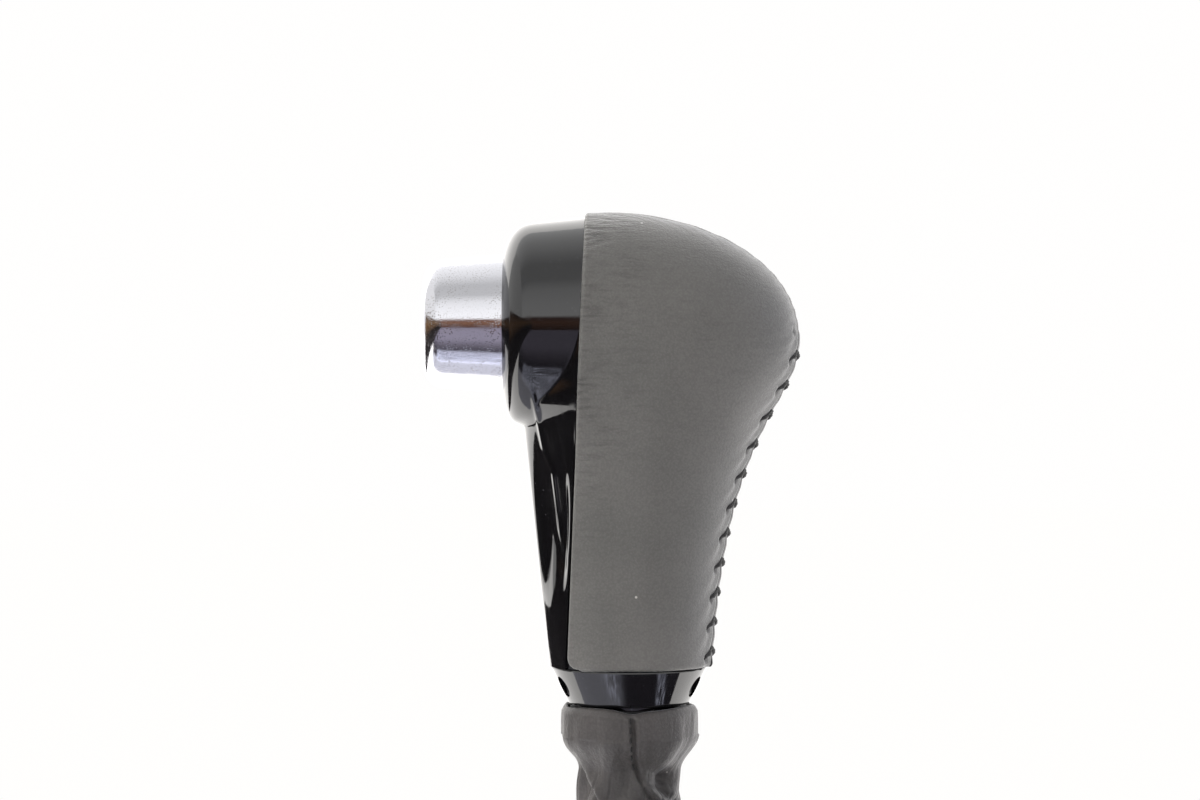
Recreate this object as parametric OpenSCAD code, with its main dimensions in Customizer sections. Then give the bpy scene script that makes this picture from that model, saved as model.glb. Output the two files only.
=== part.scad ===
// Shift knob of an automatic gear lever, with its lock button mechanism and lever boot.
// The origin is the centre of the lever bore's mouth, at the bottom face of the collar.
// +Z runs up the lever axis, and the button points along -X. Lengths are in millimetres.

/* [Grip] */
// Height of the grip's lower edge above the bore's mouth
grip_base_z = 7.6; // [6:0.1:9]
// Rise of the split's top end over the drum's axis
split_top_rise = 21.6; // [20:0.1:22.2]
// Place of the split between leather and fascia at the lower edge
split_base_x = -12.9; // [-14:0.1:-12]
// Place of the split at the top
split_top_x = -9; // [-10:0.1:-8]
// Reach of the palm side from the lever axis
palm_reach = 34.6; // [32:0.1:37]
// Drop of the palm's farthest point under the drum's axis
palm_drop = 2.7; // [1:0.1:5]
// Radius of the grip's back at the lower edge
base_reach = 16.8; // [16:0.1:18]
// Half width of the head
head_half_w = 22.6; // [22.2:0.1:23.5]
// Half width of the grip at the lower edge
base_half_w = 16; // [15.5:0.1:17]
// Thickness of the leather
leather_t = 1.2; // [0.8:0.1:1.5]
// Step by which the leather stands proud of the fascia
leather_proud = 1; // [0.6:0.1:1.2]

/* [Fascia] */
// Height of the drum's axis and of the button
drum_z = 77.2; // [76:0.1:78]
// Place of the drum's front face
drum_face_x = -26.7; // [-28:0.1:-26]
// Radius of the drum behind its rounded front edge
drum_r = 19.8; // [19:0.1:20]
// Growth of the drum's radius per millimetre of depth
drum_taper = 0.1; // [0.08:0.01:0.11]
// Depth of the drum's rounded front edge
drum_edge = 8; // [6:0.5:9]
// Place of the stem's front line at the lower edge
stem_base_x = -16.3; // [-17:0.1:-16]
// Lean of the stem's front line
stem_lean = 0.107; // [0.09:0.001:0.12]
// Wall of the fascia
fascia_t = 2.2; // [1.8:0.1:2.4]

/* [Button] */
// Radius of the button at its outer end
button_tip_r = 13.15; // [12.5:0.05:13.4]
// Radius of the button at the fascia
button_root_r = 14; // [13.5:0.05:14.1]
// Stand-out of the button at rest
button_out = 15.7; // [14:0.1:17]
// Radius of the button's outer edge
button_edge_r = 4.5; // [3:0.1:5]
// Wall of the button cap
cap_wall = 2; // [1.6:0.1:2.2]
// Push of the button
travel = 6; // [4:0.1:6]
// Running gap round the button
button_gap = 0.4; // [0.3:0.05:0.5]
// Gap between sliding pieces inside the head
slide_gap = 0.3; // [0.2:0.05:0.4]

/* [Lever fitting] */
// Radius of the bore for the gear lever
bore_r = 7; // [6:0.1:7.2]
// Height of the button's axis above the end of the bore
bore_end_drop = 31.2; // [31:0.1:37]
// Wall of the steel sleeve
sleeve_t = 1.6; // [1.2:0.1:2]
// Radius of the plunger
plunger_r = 2.5; // [2:0.1:3]
// Wall of the plunger's bush
bush_t = 1.5; // [1.2:0.1:2]
// Running gap round the plunger
plunger_gap = 0.05; // [0.03:0.01:0.1]

/* [Collar] */
// Radius of the collar at its top
collar_top_r = 15.85; // [15.5:0.05:16]
// Radius of the collar at its bottom face
collar_foot_r = 12.5; // [12.3:0.1:13.5]
// Height of the lock screws
lock_screw_z = 3.6; // [3:0.1:4]
// Turn of the lock screws from the X axis towards the grip's left side
lock_turn = 20; // [15:1:25]
// Radius of the lock screws' shanks
lock_screw_r = 1.5; // [1.2:0.1:1.7]
// Radius of the lock screws' heads
lock_head_r = 1.9; // [1.8:0.1:2.1]
// Length of the spigot below the bottom face
spigot_len = 8; // [7:0.5:10]

/* [Boot] */
// Thickness of the boot's leather
boot_t = 1; // [0.8:0.1:1.2]
// Radius of the bunched leather over the ring
bunch_r = 13.9; // [13.5:0.1:15]
// Radius of the twisted neck
neck_r = 10.3; // [10:0.1:11]
// Radius of the hem
hem_r = 36; // [30:1:42]
// Depth of the hem below the bottom face
boot_len = 74; // [66:1:90]
// Number of folds round the boot
boot_folds = 7; // [5:1:9]

/* [Hidden] */
$fn = 64;
seat = 0.1;          // gap of a piece pressed or glued into its seat
eps = 0.5;           // overshoot of a cut past the face that it opens
top_angle = 84;      // last row of a dome, in degrees above its equator

// Leather profile. Heights of the rows of a loft, closer together where the head is round.
crown_z = drum_z + head_half_w;
split_top_z = drum_z + split_top_rise;
palm_z = drum_z - palm_drop;
crown_x = -4;
crown_handle = 19;
palm_handle_up = 15.5;
palm_handle_down = 14.3;
base_lean = 2.9;
base_handle = 51.4;
waist_handle_up = 16;
waist_handle_down = 42;
waist_lean = 1;
stem_power = 1.9;
stem_hollow = 2.2;   // depth of the hollow in the stem's sides
hollow_low_z = grip_base_z + 14.4;
hollow_high_z = drum_z - 25.2;
head_front = 60;     // front half axis of the leather's sections at the head
head_low_z = drum_z - 27.2;
head_high_z = drum_z + 0.8;
stem_rows = 8;
dome_rows = 9;
stem_sides = 24;
body_power = 2.2;
drum_power = 3;
blend = 5;           // width of the fillet between drum and stem

// Mechanism. Its stack hangs from the button's axis down to the end of the bore.
bore_depth = drum_z - bore_end_drop;
cap_dome = 0.6;                             // bulge of the cap's face
cap_root_in = 7;                            // length of the cap inside the fascia
cap_rear_x = drum_face_x + cap_root_in;
tip_x = drum_face_x - button_out;
hole_r = button_root_r + button_gap;
flange_r = button_root_r + 1.5;
flange_t = 1.5;
bumper_t = 1;
plug_t = 3;
plug_gap = 0.6;
lap = 1;                                    // overlap of shapes joined in one piece
guide_front_x = drum_face_x + 2;            // guide ring moulded behind the fascia's hole
guide_back_x = cap_rear_x - flange_t - bumper_t - 2 * seat;
bar_h = 12;
bar_w = 12;
bar_end_x = 5;
fin_w = 6;
plunger_top_z = drum_z - 7.2;
plunger_len = 17;
bush_top_z = drum_z - 14.9;
wedge_gap = 0.2;
wedge_z = plunger_top_z - plunger_r + sqrt(2) * (plunger_r + wedge_gap);
wedge_low_x = -8.5;
wedge_heel_x = -12.5;
wedge_low_z = wedge_z + wedge_low_x;
spring_seat_x = 19;
spring_wire_r = 0.55;
spring_r = 4;
spring_turns = 6;
spring_rest_x = bar_end_x + slide_gap;
nose_len = 3;                               // nose of the slider inside the spring
nose_r = spring_r - 2 * spring_wire_r - 0.2;
nose_draft = 0.9;
house_front_x = -11.5;
house_back_x = 22;
house_half_w = 9.5;
house_top_z = drum_z + bar_h / 2 + 3;
house_base_z = bore_depth + 8;
house_screw_y = 13;
house_screw_r = 1.4;
house_head_r = 2.6;
house_head_t = 1.6;
house_head_round = 0.4;
house_screw_len = 10;
screw_gap = 0.02;    // gap round a screw that cuts its own thread
recess_len = 3.2;    // cross recess of the housing's screws
recess_w = 0.8;
recess_depth = 0.8;
ear_half_w = 16.2;
ear_h = 7;
ear_t = 3;
sleeve_r = bore_r + sleeve_t;
sleeve_cap = 2.5;
pocket_r = flange_r + 0.5;
core_gap = 0.3;      // gap between core and fascia

// Collar and boot
collar_in_r = sleeve_r + seat;
spigot_r = 10.6;
spigot_in_r = bore_r + 0.9;
groove_depth = 0.6;
groove_h = 1.4;
groove_rise = 2;     // height of the groove above the spigot's end
lip_gap = 0.2;
lock_pocket_gap = 0.2;
lock_head_t = 1.4;
lock_head_in = 0.9;  // depth of the screw heads inside the collar's lower edge
lock_recess_len = 2.2;
lock_recess_w = 0.55;
lock_recess_depth = 0.8;
ring_in_r = spigot_r + seat;
ring_r = 12;
ring_top_z = -0.8;
ring_foot_z = -7.2;
clamp_t = 0.5;
clamp_h = 2.4;
clamp_z = -5.2;
boot_top_z = -0.1;
boot_round_z = -1.6; // end of the leather's rounded upper edge
boot_round = 1.1;
bunch_end_z = -6.5;
neck_end_z = -13.5;
skirt_z = -34;
neck_flare = 2.4;    // growth of the neck down to the skirt
boot_sides = 42;
boot_twist = 75;
fold_depth = 0.35;
skirt_fold_depth = 1.8;

// Seam stitches of the grip and of the boot
stitch_pitch = 6;
stitch_r = 0.35;
stitch_half_w = 3.6;
seam_y = -4;         // place of the back seam, which runs left of the middle
stitch_rise = 2.4;   // height of a stitch's inner end above its hole
stitch_low_z = 9.5;
stitch_top_z = 73;
boot_stitch_pitch = 1.9;
boot_stitch_len = 1.2;
boot_stitch_r = 0.22;
boot_stitch_top_z = -1.8;
boot_stitch_lift = 0.2;
boot_stitches = 6;

function clamp01(t) = min(1, max(0, t));
function mix(a, b, t) = a + (b - a) * t;
function smooth(t) = let (u = clamp01(t)) u * u * (3 - 2 * u);
function bezier(a, b, c, d, t) =
    let (s = 1 - t) a * s * s * s + 3 * b * s * s * t + 3 * c * s * t * t + d * t * t * t;
// Parameter at which a falling height curve reaches z
function curve_at(a, b, c, d, z, low = 0, high = 1, steps = 18) =
    steps == 0 ? (low + high) / 2
    : let (mid = (low + high) / 2)
      bezier(a, b, c, d, mid) > z ? curve_at(a, b, c, d, z, mid, high, steps - 1)
                                  : curve_at(a, b, c, d, z, low, mid, steps - 1);

// Place of the split at a height
function split_x(z) =
    mix(split_base_x, split_top_x, (z - grip_base_z) / (split_top_z - grip_base_z));
// Reach of the grip's back at a height, for a skin that lies in by inset
function back_reach(z, inset) =
    let (top_z = crown_z - inset)
    z > palm_z
    ? let (t = curve_at(top_z, top_z, palm_z + palm_handle_up, palm_z, z))
      bezier(crown_x, crown_x + crown_handle, palm_reach - inset, palm_reach - inset, t)
    : let (t = curve_at(palm_z, palm_z - palm_handle_down, grip_base_z + base_handle, grip_base_z, z))
      bezier(palm_reach, palm_reach, base_reach + base_lean, base_reach, t) - inset;
// Half width of the grip at a height
function half_width(z, inset) =
    z > drum_z ? sqrt(max(0, pow(head_half_w - inset, 2) - pow(z - drum_z, 2)))
    : let (t = curve_at(drum_z, drum_z - waist_handle_up, grip_base_z + waist_handle_down, grip_base_z, z))
      bezier(head_half_w, head_half_w, base_half_w + waist_lean, base_half_w, t) - inset;
// Centre of the sections, which moves forward under the crown
function section_x(z) = crown_x * smooth((z - drum_z) / (crown_z - drum_z));
// Front half axis of the leather's sections: round at the foot, nearly straight at the head
function front_axis(z) =
    mix(-stem_base_x + stem_lean * (z - grip_base_z) + leather_proud, head_front,
        smooth((z - head_low_z) / (head_high_z - head_low_z)));

function power_arc(c, p) = sign(c) * pow(abs(c), 2 / p);
// Section of the leather from one split edge round the back to the other
function leather_row(z, inset, sides) =
    let (
        cx = section_x(z),
        back = back_reach(z, inset) - cx,
        front = front_axis(z) - inset,
        w = half_width(z, inset),
        turn = acos(-pow(clamp01((cx - split_x(z)) / front), body_power / 2))
    )
    [for (i = [0:sides])
        let (a = turn * (2 * i / sides - 1), c = cos(a))
        [cx + (c > 0 ? back : front) * power_arc(c, body_power), w * power_arc(sin(a), body_power), z]];

// Radius of the drum at a depth, for a skin that lies in by inset
function drum_radius(x, inset) =
    let (
        front = drum_face_x + inset,
        u = clamp01((x - front) / drum_edge),
        edge = pow(1 - pow(1 - u, drum_power), 1 / drum_power)
    )
    (drum_r + drum_taper * (x - drum_face_x) - inset) * edge;
// Distance from the lever axis to the drum's wall along a bearing
function drum_reach(a, z, inset, low = 0, high = 32, steps = 16) =
    steps == 0 ? (low + high) / 2
    : let (
        mid = (low + high) / 2,
        x = mid * cos(a),
        room = pow(drum_radius(x, inset), 2) - pow(z - drum_z, 2)
      )
      x > drum_face_x + inset && room > 0 && abs(mid * sin(a)) < sqrt(room)
      ? drum_reach(a, z, inset, mid, high, steps - 1)
      : drum_reach(a, z, inset, low, mid, steps - 1);
// Half width of the leather at the split
function split_half_width(z) =
    half_width(z, 0) * pow(1 - pow((section_x(z) - split_x(z)) / front_axis(z), body_power), 1 / body_power);
// Distance from the lever axis to the stem's wall along a bearing: level with the leather's edge at
// the split, and hollowed between there and the front ridge
function stem_reach(a, z, inset) =
    let (
        fade = z > drum_z ? 0 : 1,
        depth = -stem_base_x + stem_lean * (z - grip_base_z),
        edge_w = split_half_width(z) - leather_proud,
        w = edge_w / pow(1 - pow(-split_x(z) / depth, stem_power), 1 / stem_power),
        wall = pow(pow(abs(cos(a)) / depth, stem_power) + pow(abs(sin(a)) / w, stem_power), -1 / stem_power),
        side = abs(sin(a)) * norm([edge_w, split_x(z)]) / edge_w,
        hollow = stem_hollow * smooth((z - hollow_low_z) / (hollow_high_z - hollow_low_z))
    )
    fade * (wall - inset - hollow * smooth((side - 0.2) / 0.35) * smooth((1 - side) / 0.14));
// Both walls joined by a fillet of the given width
function fascia_reach(a, z, inset) =
    let (
        stem = stem_reach(a, z, inset),
        drum = drum_reach(a, z, inset),
        mixing = max(0, blend - abs(stem - drum)) / blend
    )
    max(stem, drum) + (z > drum_z ? 0 : mixing * mixing * blend / 4);
// Bearing at which the fascia's wall meets the split
function split_bearing(z, inset, low = 90, high = 180, steps = 16) =
    steps == 0 ? (low + high) / 2
    : let (mid = (low + high) / 2)
      fascia_reach(mid, z, inset) * cos(mid) > split_x(z) ? split_bearing(z, inset, mid, high, steps - 1)
                                                         : split_bearing(z, inset, low, mid, steps - 1);
// Section of the fascia from one split edge round the front to the other
function fascia_row(z, inset, sides) =
    let (edge = split_bearing(z, inset), turn = 180 - edge)
    [for (i = [0:sides])
        let (a = 180 + turn * (2 * i / sides - 1), r = fascia_reach(a, z, inset))
        [r * cos(a), r * sin(a), z]];

// Heights of the rows: even up the stem, then by angle round the head
function row_heights(low, mid, radius, rows, dome) = concat(
    [for (i = [0:rows - 1]) mix(low, mid, i / rows)],
    [for (i = [0:dome]) mid + radius * sin(top_angle * i / dome)]
);
function leather_heights(inset) =
    row_heights(grip_base_z, drum_z, head_half_w - inset, stem_rows + 4, dome_rows);
// The fascia has extra rows where the drum's underside meets the stem
function fascia_heights(inset) =
    let (r = drum_radius(split_top_x, inset), low = drum_z - r)
    concat(
        [for (i = [0:3]) mix(grip_base_z, low - 4, i / 4)],
        [for (i = [0:8]) drum_z - r * cos(90 * i / 9) - 4 * (1 - i / 9)],
        [for (i = [0:dome_rows]) drum_z + r * sin(top_angle * i / dome_rows)]
    );

// Triangles of a band of quads between rows of n points each, starting at point first
function band(rows, n, first, flip) = [
    for (r = [0:rows - 2]) for (i = [0:n - 2])
        let (a = first + r * n + i, b = a + 1, c = a + n, d = c + 1)
        each (flip ? [[a, d, b], [a, c, d]] : [[a, b, d], [a, d, c]])
];
// Strip that joins matching points p and q of two skins
function strip(p, q, flip) = [
    for (i = [0:len(p) - 2])
        each (flip ? [[p[i], q[i + 1], p[i + 1]], [p[i], q[i], q[i + 1]]]
                   : [[p[i], p[i + 1], q[i + 1]], [p[i], q[i + 1], q[i]]])
];
function flat(rows) = [for (row = rows) each row];

// Closed shell between an outer and an inner skin, open at its foot and along the split
module open_shell(outer, inner) {
    n = len(outer[0]);
    rows = len(outer);
    count = rows * n;
    faces = concat(
        band(rows, n, 0, true),
        band(rows, n, count, false),
        strip([for (r = [0:rows - 1]) r * n], [for (r = [0:rows - 1]) count + r * n], true),
        strip([for (r = [0:rows - 1]) r * n + n - 1], [for (r = [0:rows - 1]) count + r * n + n - 1], false),
        strip([for (i = [0:n - 1]) i], [for (i = [0:n - 1]) count + i], false),
        [[for (i = [n - 1:-1:0]) count - n + i], [for (i = [0:n - 1]) 2 * count - n + i]],
        strip([count - n, count - 1], [2 * count - n, 2 * count - 1], true)
    );
    polyhedron(flat(concat(outer, inner)), faces);
}

// Solid loft through closed sections
module loft(rows) {
    n = len(rows[0]);
    last = (len(rows) - 1) * n;
    faces = concat(
        [for (r = [0:len(rows) - 2]) for (i = [0:n - 1])
            let (a = r * n + i, b = r * n + (i + 1) % n, c = a + n, d = b + n)
            each [[a, d, b], [a, c, d]]],
        [[for (i = [0:n - 1]) i], [for (i = [n - 1:-1:0]) last + i]]
    );
    polyhedron(flat(rows), faces);
}

// Cylinder along X from x0 to x1
module rod_x(x0, x1, r0, r1) {
    translate([x0, 0, drum_z]) rotate([0, 90, 0]) cylinder(h = x1 - x0, r1 = r0, r2 = r1);
}
// Ring about the lever axis
module ring_z(z0, z1, r_out, r_in) {
    translate([0, 0, z0]) difference() {
        cylinder(h = z1 - z0, r = r_out);
        translate([0, 0, -eps]) cylinder(h = z1 - z0 + 2 * eps, r = r_in);
    }
}
// Cylinder between two points
module peg(from, to, r) {
    d = to - from;
    translate(from)
        rotate([0, acos(d.z / norm(d)), atan2(d.y, d.x)])
            cylinder(h = norm(d), r = r, $fn = 16);
}

module leather_wrap() {
    color("#67655f")
        open_shell([for (z = leather_heights(0)) leather_row(z, 0, stem_sides)],
                   [for (z = leather_heights(leather_t)) leather_row(z, leather_t, stem_sides)]);
}

// Place of the leather's back at a height and a side offset, below the drum's axis
function back_x(y, z, inset) =
    back_reach(z, inset) * pow(1 - pow(abs(y) / half_width(z, inset), body_power), 1 / body_power);

// Pairs of slanted stitches that lace the back seam
module wrap_thread() {
    lift = stitch_r + 1.6 * seat;
    count = floor((stitch_top_z - stitch_low_z) / stitch_pitch);
    color("#33312f")
        for (i = [0:count], side = [-1, 1])
            let (
                z = stitch_low_z + i * stitch_pitch,
                top_z = z + stitch_rise,
                y = seam_y + side * stitch_half_w,
                top_y = seam_y - side * stitch_r,
                from = [back_x(y, z, -lift), y, z],
                to = [back_x(top_y, top_z, -lift), top_y, top_z]
            )
            peg(from, to, stitch_r);
}

module fascia() {
    color("#141417") difference() {
        union() {
            open_shell([for (z = fascia_heights(0)) fascia_row(z, 0, stem_sides)],
                       [for (z = fascia_heights(fascia_t)) fascia_row(z, fascia_t, stem_sides)]);
            rod_x(guide_front_x, guide_back_x, flange_r, flange_r);
        }
        rod_x(drum_face_x - eps, guide_back_x + eps, hole_r, hole_r);
        // Seat of the bumper behind the guide ring
        rod_x(guide_back_x, cap_rear_x, flange_r + seat, flange_r + seat);
    }
}

// Outline of the cap in the plane of its axis: rounded outer edge, draft, and a stop flange
module cap_outline() {
    front = tip_x;
    dome = cap_dome;
    polygon(concat(
        [[0, front]],
        [for (a = [0:15:75])
            [button_tip_r - button_edge_r + button_edge_r * sin(a),
             front + dome + button_edge_r * (1 - cos(a))]],
        [
            [button_tip_r, front + dome + button_edge_r],
            [button_root_r, drum_face_x],
            [button_root_r, cap_rear_x - flange_t],
            [flange_r, cap_rear_x - flange_t],
            [flange_r, cap_rear_x],
            [button_root_r - cap_wall, cap_rear_x],
            [button_tip_r - cap_wall, front + cap_wall + button_edge_r],
            [button_tip_r - button_edge_r, front + cap_wall + dome],
            [0, front + cap_wall + dome]
        ]
    ));
}
module button_cap() {
    color("#c9c9cc")
        translate([0, 0, drum_z]) rotate([0, 90, 0]) rotate_extrude() cap_outline();
}

// Slider: a plug inside the cap, a square bar and the 45 degree wedge on its fin
module button_slider() {
    nose_x = tip_x + cap_wall + cap_dome + seat;
    plug_r = button_root_r - cap_wall - plug_gap;
    color("#d8d4c8") union() {
        rod_x(cap_rear_x - plug_t, cap_rear_x, plug_r, plug_r);
        rod_x(nose_x, cap_rear_x - plug_t + lap, bar_w / 2, bar_w / 2);
        translate([cap_rear_x - lap, -bar_w / 2, drum_z - bar_h / 2])
            cube([bar_end_x - cap_rear_x + lap, bar_w, bar_h]);
        translate([0, fin_w / 2, 0]) rotate([90, 0, 0]) linear_extrude(fin_w)
            polygon([
                [wedge_heel_x, drum_z],
                [wedge_heel_x, wedge_low_z],
                [wedge_low_x, wedge_low_z],
                [bar_end_x - lap, wedge_z + bar_end_x - lap],
                [bar_end_x - lap, drum_z]
            ]);
        rod_x(bar_end_x - lap, bar_end_x + nose_len, nose_r, nose_r - nose_draft);
    }
}

// Compression spring swept along a helix about the button's axis
module button_spring() {
    steps = spring_turns * 10;
    sides = 6;
    length = spring_seat_x - spring_rest_x - 2 * spring_wire_r - slide_gap;
    rows = [for (i = [0:steps])
        let (a = 360 * spring_turns * i / steps, x = spring_rest_x + spring_wire_r + length * i / steps)
        [for (k = [0:sides - 1])
            let (b = -360 * k / sides, r = spring_r + spring_wire_r * cos(b))
            [x + spring_wire_r * sin(b), r * cos(a), drum_z + r * sin(a)]]];
    color("#8d9095") loft(rows);
}

module button_bumper() {
    color("#1c1c1c") difference() {
        rod_x(guide_back_x, guide_back_x + bumper_t, flange_r, flange_r);
        rod_x(guide_back_x - eps, guide_back_x + bumper_t + eps, hole_r, hole_r);
    }
}

// Block that guides the slider, seats the spring and holds the plunger's bush
module slider_housing() {
    gap = slide_gap;
    color("#3a3d42") difference() {
        union() {
            translate([house_front_x, -house_half_w, house_base_z])
                cube([house_back_x - house_front_x, 2 * house_half_w, house_top_z - house_base_z]);
            translate([house_front_x, -ear_half_w, drum_z - ear_h / 2])
                cube([ear_t, 2 * ear_half_w, ear_h]);
        }
        translate([house_front_x - eps, -bar_w / 2 - gap, drum_z - bar_h / 2 - gap])
            cube([spring_seat_x - house_front_x + eps, bar_w + 2 * gap, bar_h + 2 * gap]);
        translate([house_front_x - eps, -fin_w / 2 - gap, bush_top_z])
            cube([bar_end_x + travel - house_front_x + eps + gap, fin_w + 2 * gap, drum_z - bush_top_z]);
        translate([0, 0, house_base_z - eps])
            cylinder(h = bush_top_z - house_base_z + 2 * eps, r = plunger_r + plunger_gap + bush_t + seat);
        for (side = [-1, 1]) translate([0, side * house_screw_y, 0])
            rod_x(house_front_x - eps, house_front_x + ear_t + eps, house_screw_r + seat, house_screw_r + seat);
    }
}

// Pan head screw with a cross recess, put in from the front
module housing_screw(side) {
    head_x = house_front_x - seat / 2;
    color("#9a9c9f") translate([0, side * house_screw_y, 0]) difference() {
        union() {
            rod_x(head_x - house_head_t, head_x, house_head_r - house_head_round, house_head_r);
            rod_x(head_x - seat, head_x + house_screw_len, house_screw_r, house_screw_r);
        }
        for (turn = [0, 90])
            translate([head_x - house_head_t, 0, drum_z]) rotate([turn, 0, 0])
                cube([2 * recess_depth, recess_len, recess_w], center = true);
    }
}
module housing_screw_left() housing_screw(1);
module housing_screw_right() housing_screw(-1);

module push_plunger() {
    color("#a7a9ac") translate([0, 0, plunger_top_z - plunger_len]) union() {
        cylinder(h = plunger_len - plunger_r, r = plunger_r);
        translate([0, 0, plunger_len - plunger_r]) sphere(r = plunger_r);
    }
}

module plunger_bush() {
    color("#e4e0d4")
        ring_z(bore_depth + sleeve_cap, bush_top_z, plunger_r + plunger_gap + bush_t, plunger_r + plunger_gap);
}

// Moulded core that carries every other piece of the grip
module grip_core() {
    sides = stem_sides / 2;
    rear_inset = leather_t + seat;
    front_inset = fascia_t + core_gap;
    rear = [for (z = leather_heights(rear_inset)) leather_row(z, rear_inset, sides)];
    front = [for (z = fascia_heights(front_inset))
        let (row = fascia_row(z, front_inset, sides), x = split_x(z) + lap / 2)
        concat(row, [[x, row[sides].y, z], [x, row[0].y, z]])];
    color("#2d2e31") difference() {
        union() {
            loft(rear);
            loft(front);
        }
        // Seat of the sleeve, and the bush's hole above it
        translate([0, 0, grip_base_z - eps])
            cylinder(h = bore_depth + sleeve_cap - grip_base_z + eps + seat, r = sleeve_r + seat);
        translate([0, 0, bore_depth])
            cylinder(h = house_base_z - bore_depth, r = plunger_r + plunger_gap + bush_t + seat);
        // Pocket behind the button, open to the front
        rod_x(drum_face_x, house_front_x, pocket_r, pocket_r);
        // Seat of the slider's housing, put in from the front
        translate([drum_face_x, -house_half_w - seat, house_base_z - seat])
            cube([house_back_x - drum_face_x + seat, 2 * (house_half_w + seat),
                  house_top_z - house_base_z + 2 * seat]);
        translate([house_front_x - eps, -ear_half_w - seat, drum_z - ear_h / 2 - seat])
            cube([ear_t + eps + seat, 2 * (ear_half_w + seat), ear_h + 2 * seat]);
        for (side = [-1, 1]) translate([0, side * house_screw_y, 0])
            rod_x(house_front_x, house_front_x + house_screw_len + seat,
                  house_screw_r + screw_gap, house_screw_r + screw_gap);
    }
}

// Turns the Z axis onto the axis of the rear (1) or front (-1) lock screw
module lock_axis(side) {
    translate([0, 0, lock_screw_z]) rotate([0, side * 90, -side * lock_turn]) children();
}

// Steel sleeve: a tube closed at its top but for the plunger's hole
module lever_sleeve() {
    color("#8f9296") difference() {
        cylinder(h = bore_depth + sleeve_cap, r = sleeve_r);
        translate([0, 0, -eps]) cylinder(h = bore_depth + eps, r = bore_r);
        translate([0, 0, bore_depth - eps])
            cylinder(h = sleeve_cap + 2 * eps, r = plunger_r + slide_gap);
        for (side = [-1, 1])
            lock_axis(side) cylinder(h = sleeve_r + eps, r = lock_screw_r + seat);
    }
}

module collar() {
    color("#121214") difference() {
        union() {
            cylinder(h = grip_base_z - seat, r1 = collar_foot_r, r2 = collar_top_r);
            translate([0, 0, -spigot_len]) cylinder(h = spigot_len + lap, r = spigot_r);
        }
        translate([0, 0, -seat]) cylinder(h = grip_base_z + seat, r = collar_in_r);
        translate([0, 0, -spigot_len - eps]) cylinder(h = spigot_len + 2 * eps, r = spigot_in_r);
        // Groove round the spigot for the snap lip of the boot's ring
        translate([0, 0, -spigot_len + groove_rise]) difference() {
            cylinder(h = groove_h, r = spigot_r + eps);
            translate([0, 0, -eps]) cylinder(h = groove_h + 2 * eps, r = spigot_r - groove_depth);
        }
        // Screw holes and their pockets
        for (side = [-1, 1]) lock_axis(side) {
            cylinder(h = collar_top_r + eps, r = lock_screw_r + seat);
            translate([0, 0, collar_foot_r - lock_head_in - seat])
                cylinder(h = collar_top_r, r = lock_head_r + lock_pocket_gap);
        }
    }
}

// Lock screw with a cross recess
module lock_screw(side) {
    tip = bore_r + seat;
    head = collar_foot_r - lock_head_in;
    color("#2b2b2d")
        lock_axis(side) difference() {
            union() {
                translate([0, 0, tip]) cylinder(h = head - tip + seat, r = lock_screw_r);
                translate([0, 0, head])
                    cylinder(h = lock_head_t, r1 = lock_head_r, r2 = lock_head_r - slide_gap);
            }
            for (turn = [0, 90])
                translate([0, 0, head + lock_head_t]) rotate(turn)
                    cube([lock_recess_len, lock_recess_w, 2 * lock_recess_depth], center = true);
        }
}
module lock_screw_front() lock_screw(-1);
module lock_screw_rear() lock_screw(1);

// Mean radius of the boot's outer skin at a height
function boot_radius(z) =
    z > boot_round_z
    ? mix(bunch_r - boot_round, bunch_r, sqrt(clamp01((boot_top_z - z) / (boot_top_z - boot_round_z))))
    : z > bunch_end_z ? bunch_r
    : z > neck_end_z ? mix(bunch_r, neck_r, smooth((bunch_end_z - z) / (bunch_end_z - neck_end_z)))
    : z > skirt_z ? mix(neck_r, neck_r + neck_flare, pow((neck_end_z - z) / (neck_end_z - skirt_z), 2))
    : mix(neck_r + neck_flare, hem_r, pow((skirt_z - z) / (skirt_z + boot_len), 1.2));
// Folds that wind round the neck and open out down the skirt
function boot_row(z, inset) =
    let (
        depth = z > bunch_end_z ? 0.12
              : z > skirt_z ? fold_depth
              : mix(fold_depth, skirt_fold_depth, smooth((skirt_z - z) / (skirt_z + boot_len))),
        twist = boot_twist * smooth((bunch_end_z - z) / (bunch_end_z - skirt_z)),
        base = boot_radius(z) - inset
    )
    [for (i = [0:boot_sides - 1])
        let (a = 360 * i / boot_sides, r = base + depth * cos(boot_folds * (a + twist)))
        [r * cos(a), r * sin(a), z]];
function boot_heights() = concat(
    [for (t = [0:2]) mix(boot_top_z, boot_round_z, t / 2)],
    [for (i = [1:3]) mix(boot_round_z, bunch_end_z, i / 3)],
    [for (i = [1:4]) mix(bunch_end_z, neck_end_z, i / 4)],
    [for (i = [1:5]) mix(neck_end_z, skirt_z, i / 5)],
    [for (i = [1:7]) mix(skirt_z, -boot_len, i / 7)]
);

module boot() {
    n = boot_sides;
    heights = boot_heights();
    outer = [for (z = heights) boot_row(z, 0)];
    inner = [for (z = heights) boot_row(z, boot_t)];
    rows = len(heights);
    count = rows * n;
    faces = [
        for (r = [0:rows - 2]) for (i = [0:n - 1])
            let (a = r * n + i, b = r * n + (i + 1) % n, c = a + n, d = b + n)
            each [[a, b, d], [a, d, c], [count + a, count + d, count + b], [count + a, count + c, count + d]],
        for (i = [0:n - 1])
            let (j = (i + 1) % n, last = count - n)
            each [[i, count + j, j], [i, count + i, count + j],
                  [last + i, last + j, count + last + j], [last + i, count + last + j, count + last + i]]
    ];
    color("#5d5b58") polyhedron(flat(concat(outer, inner)), faces);
}

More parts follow.
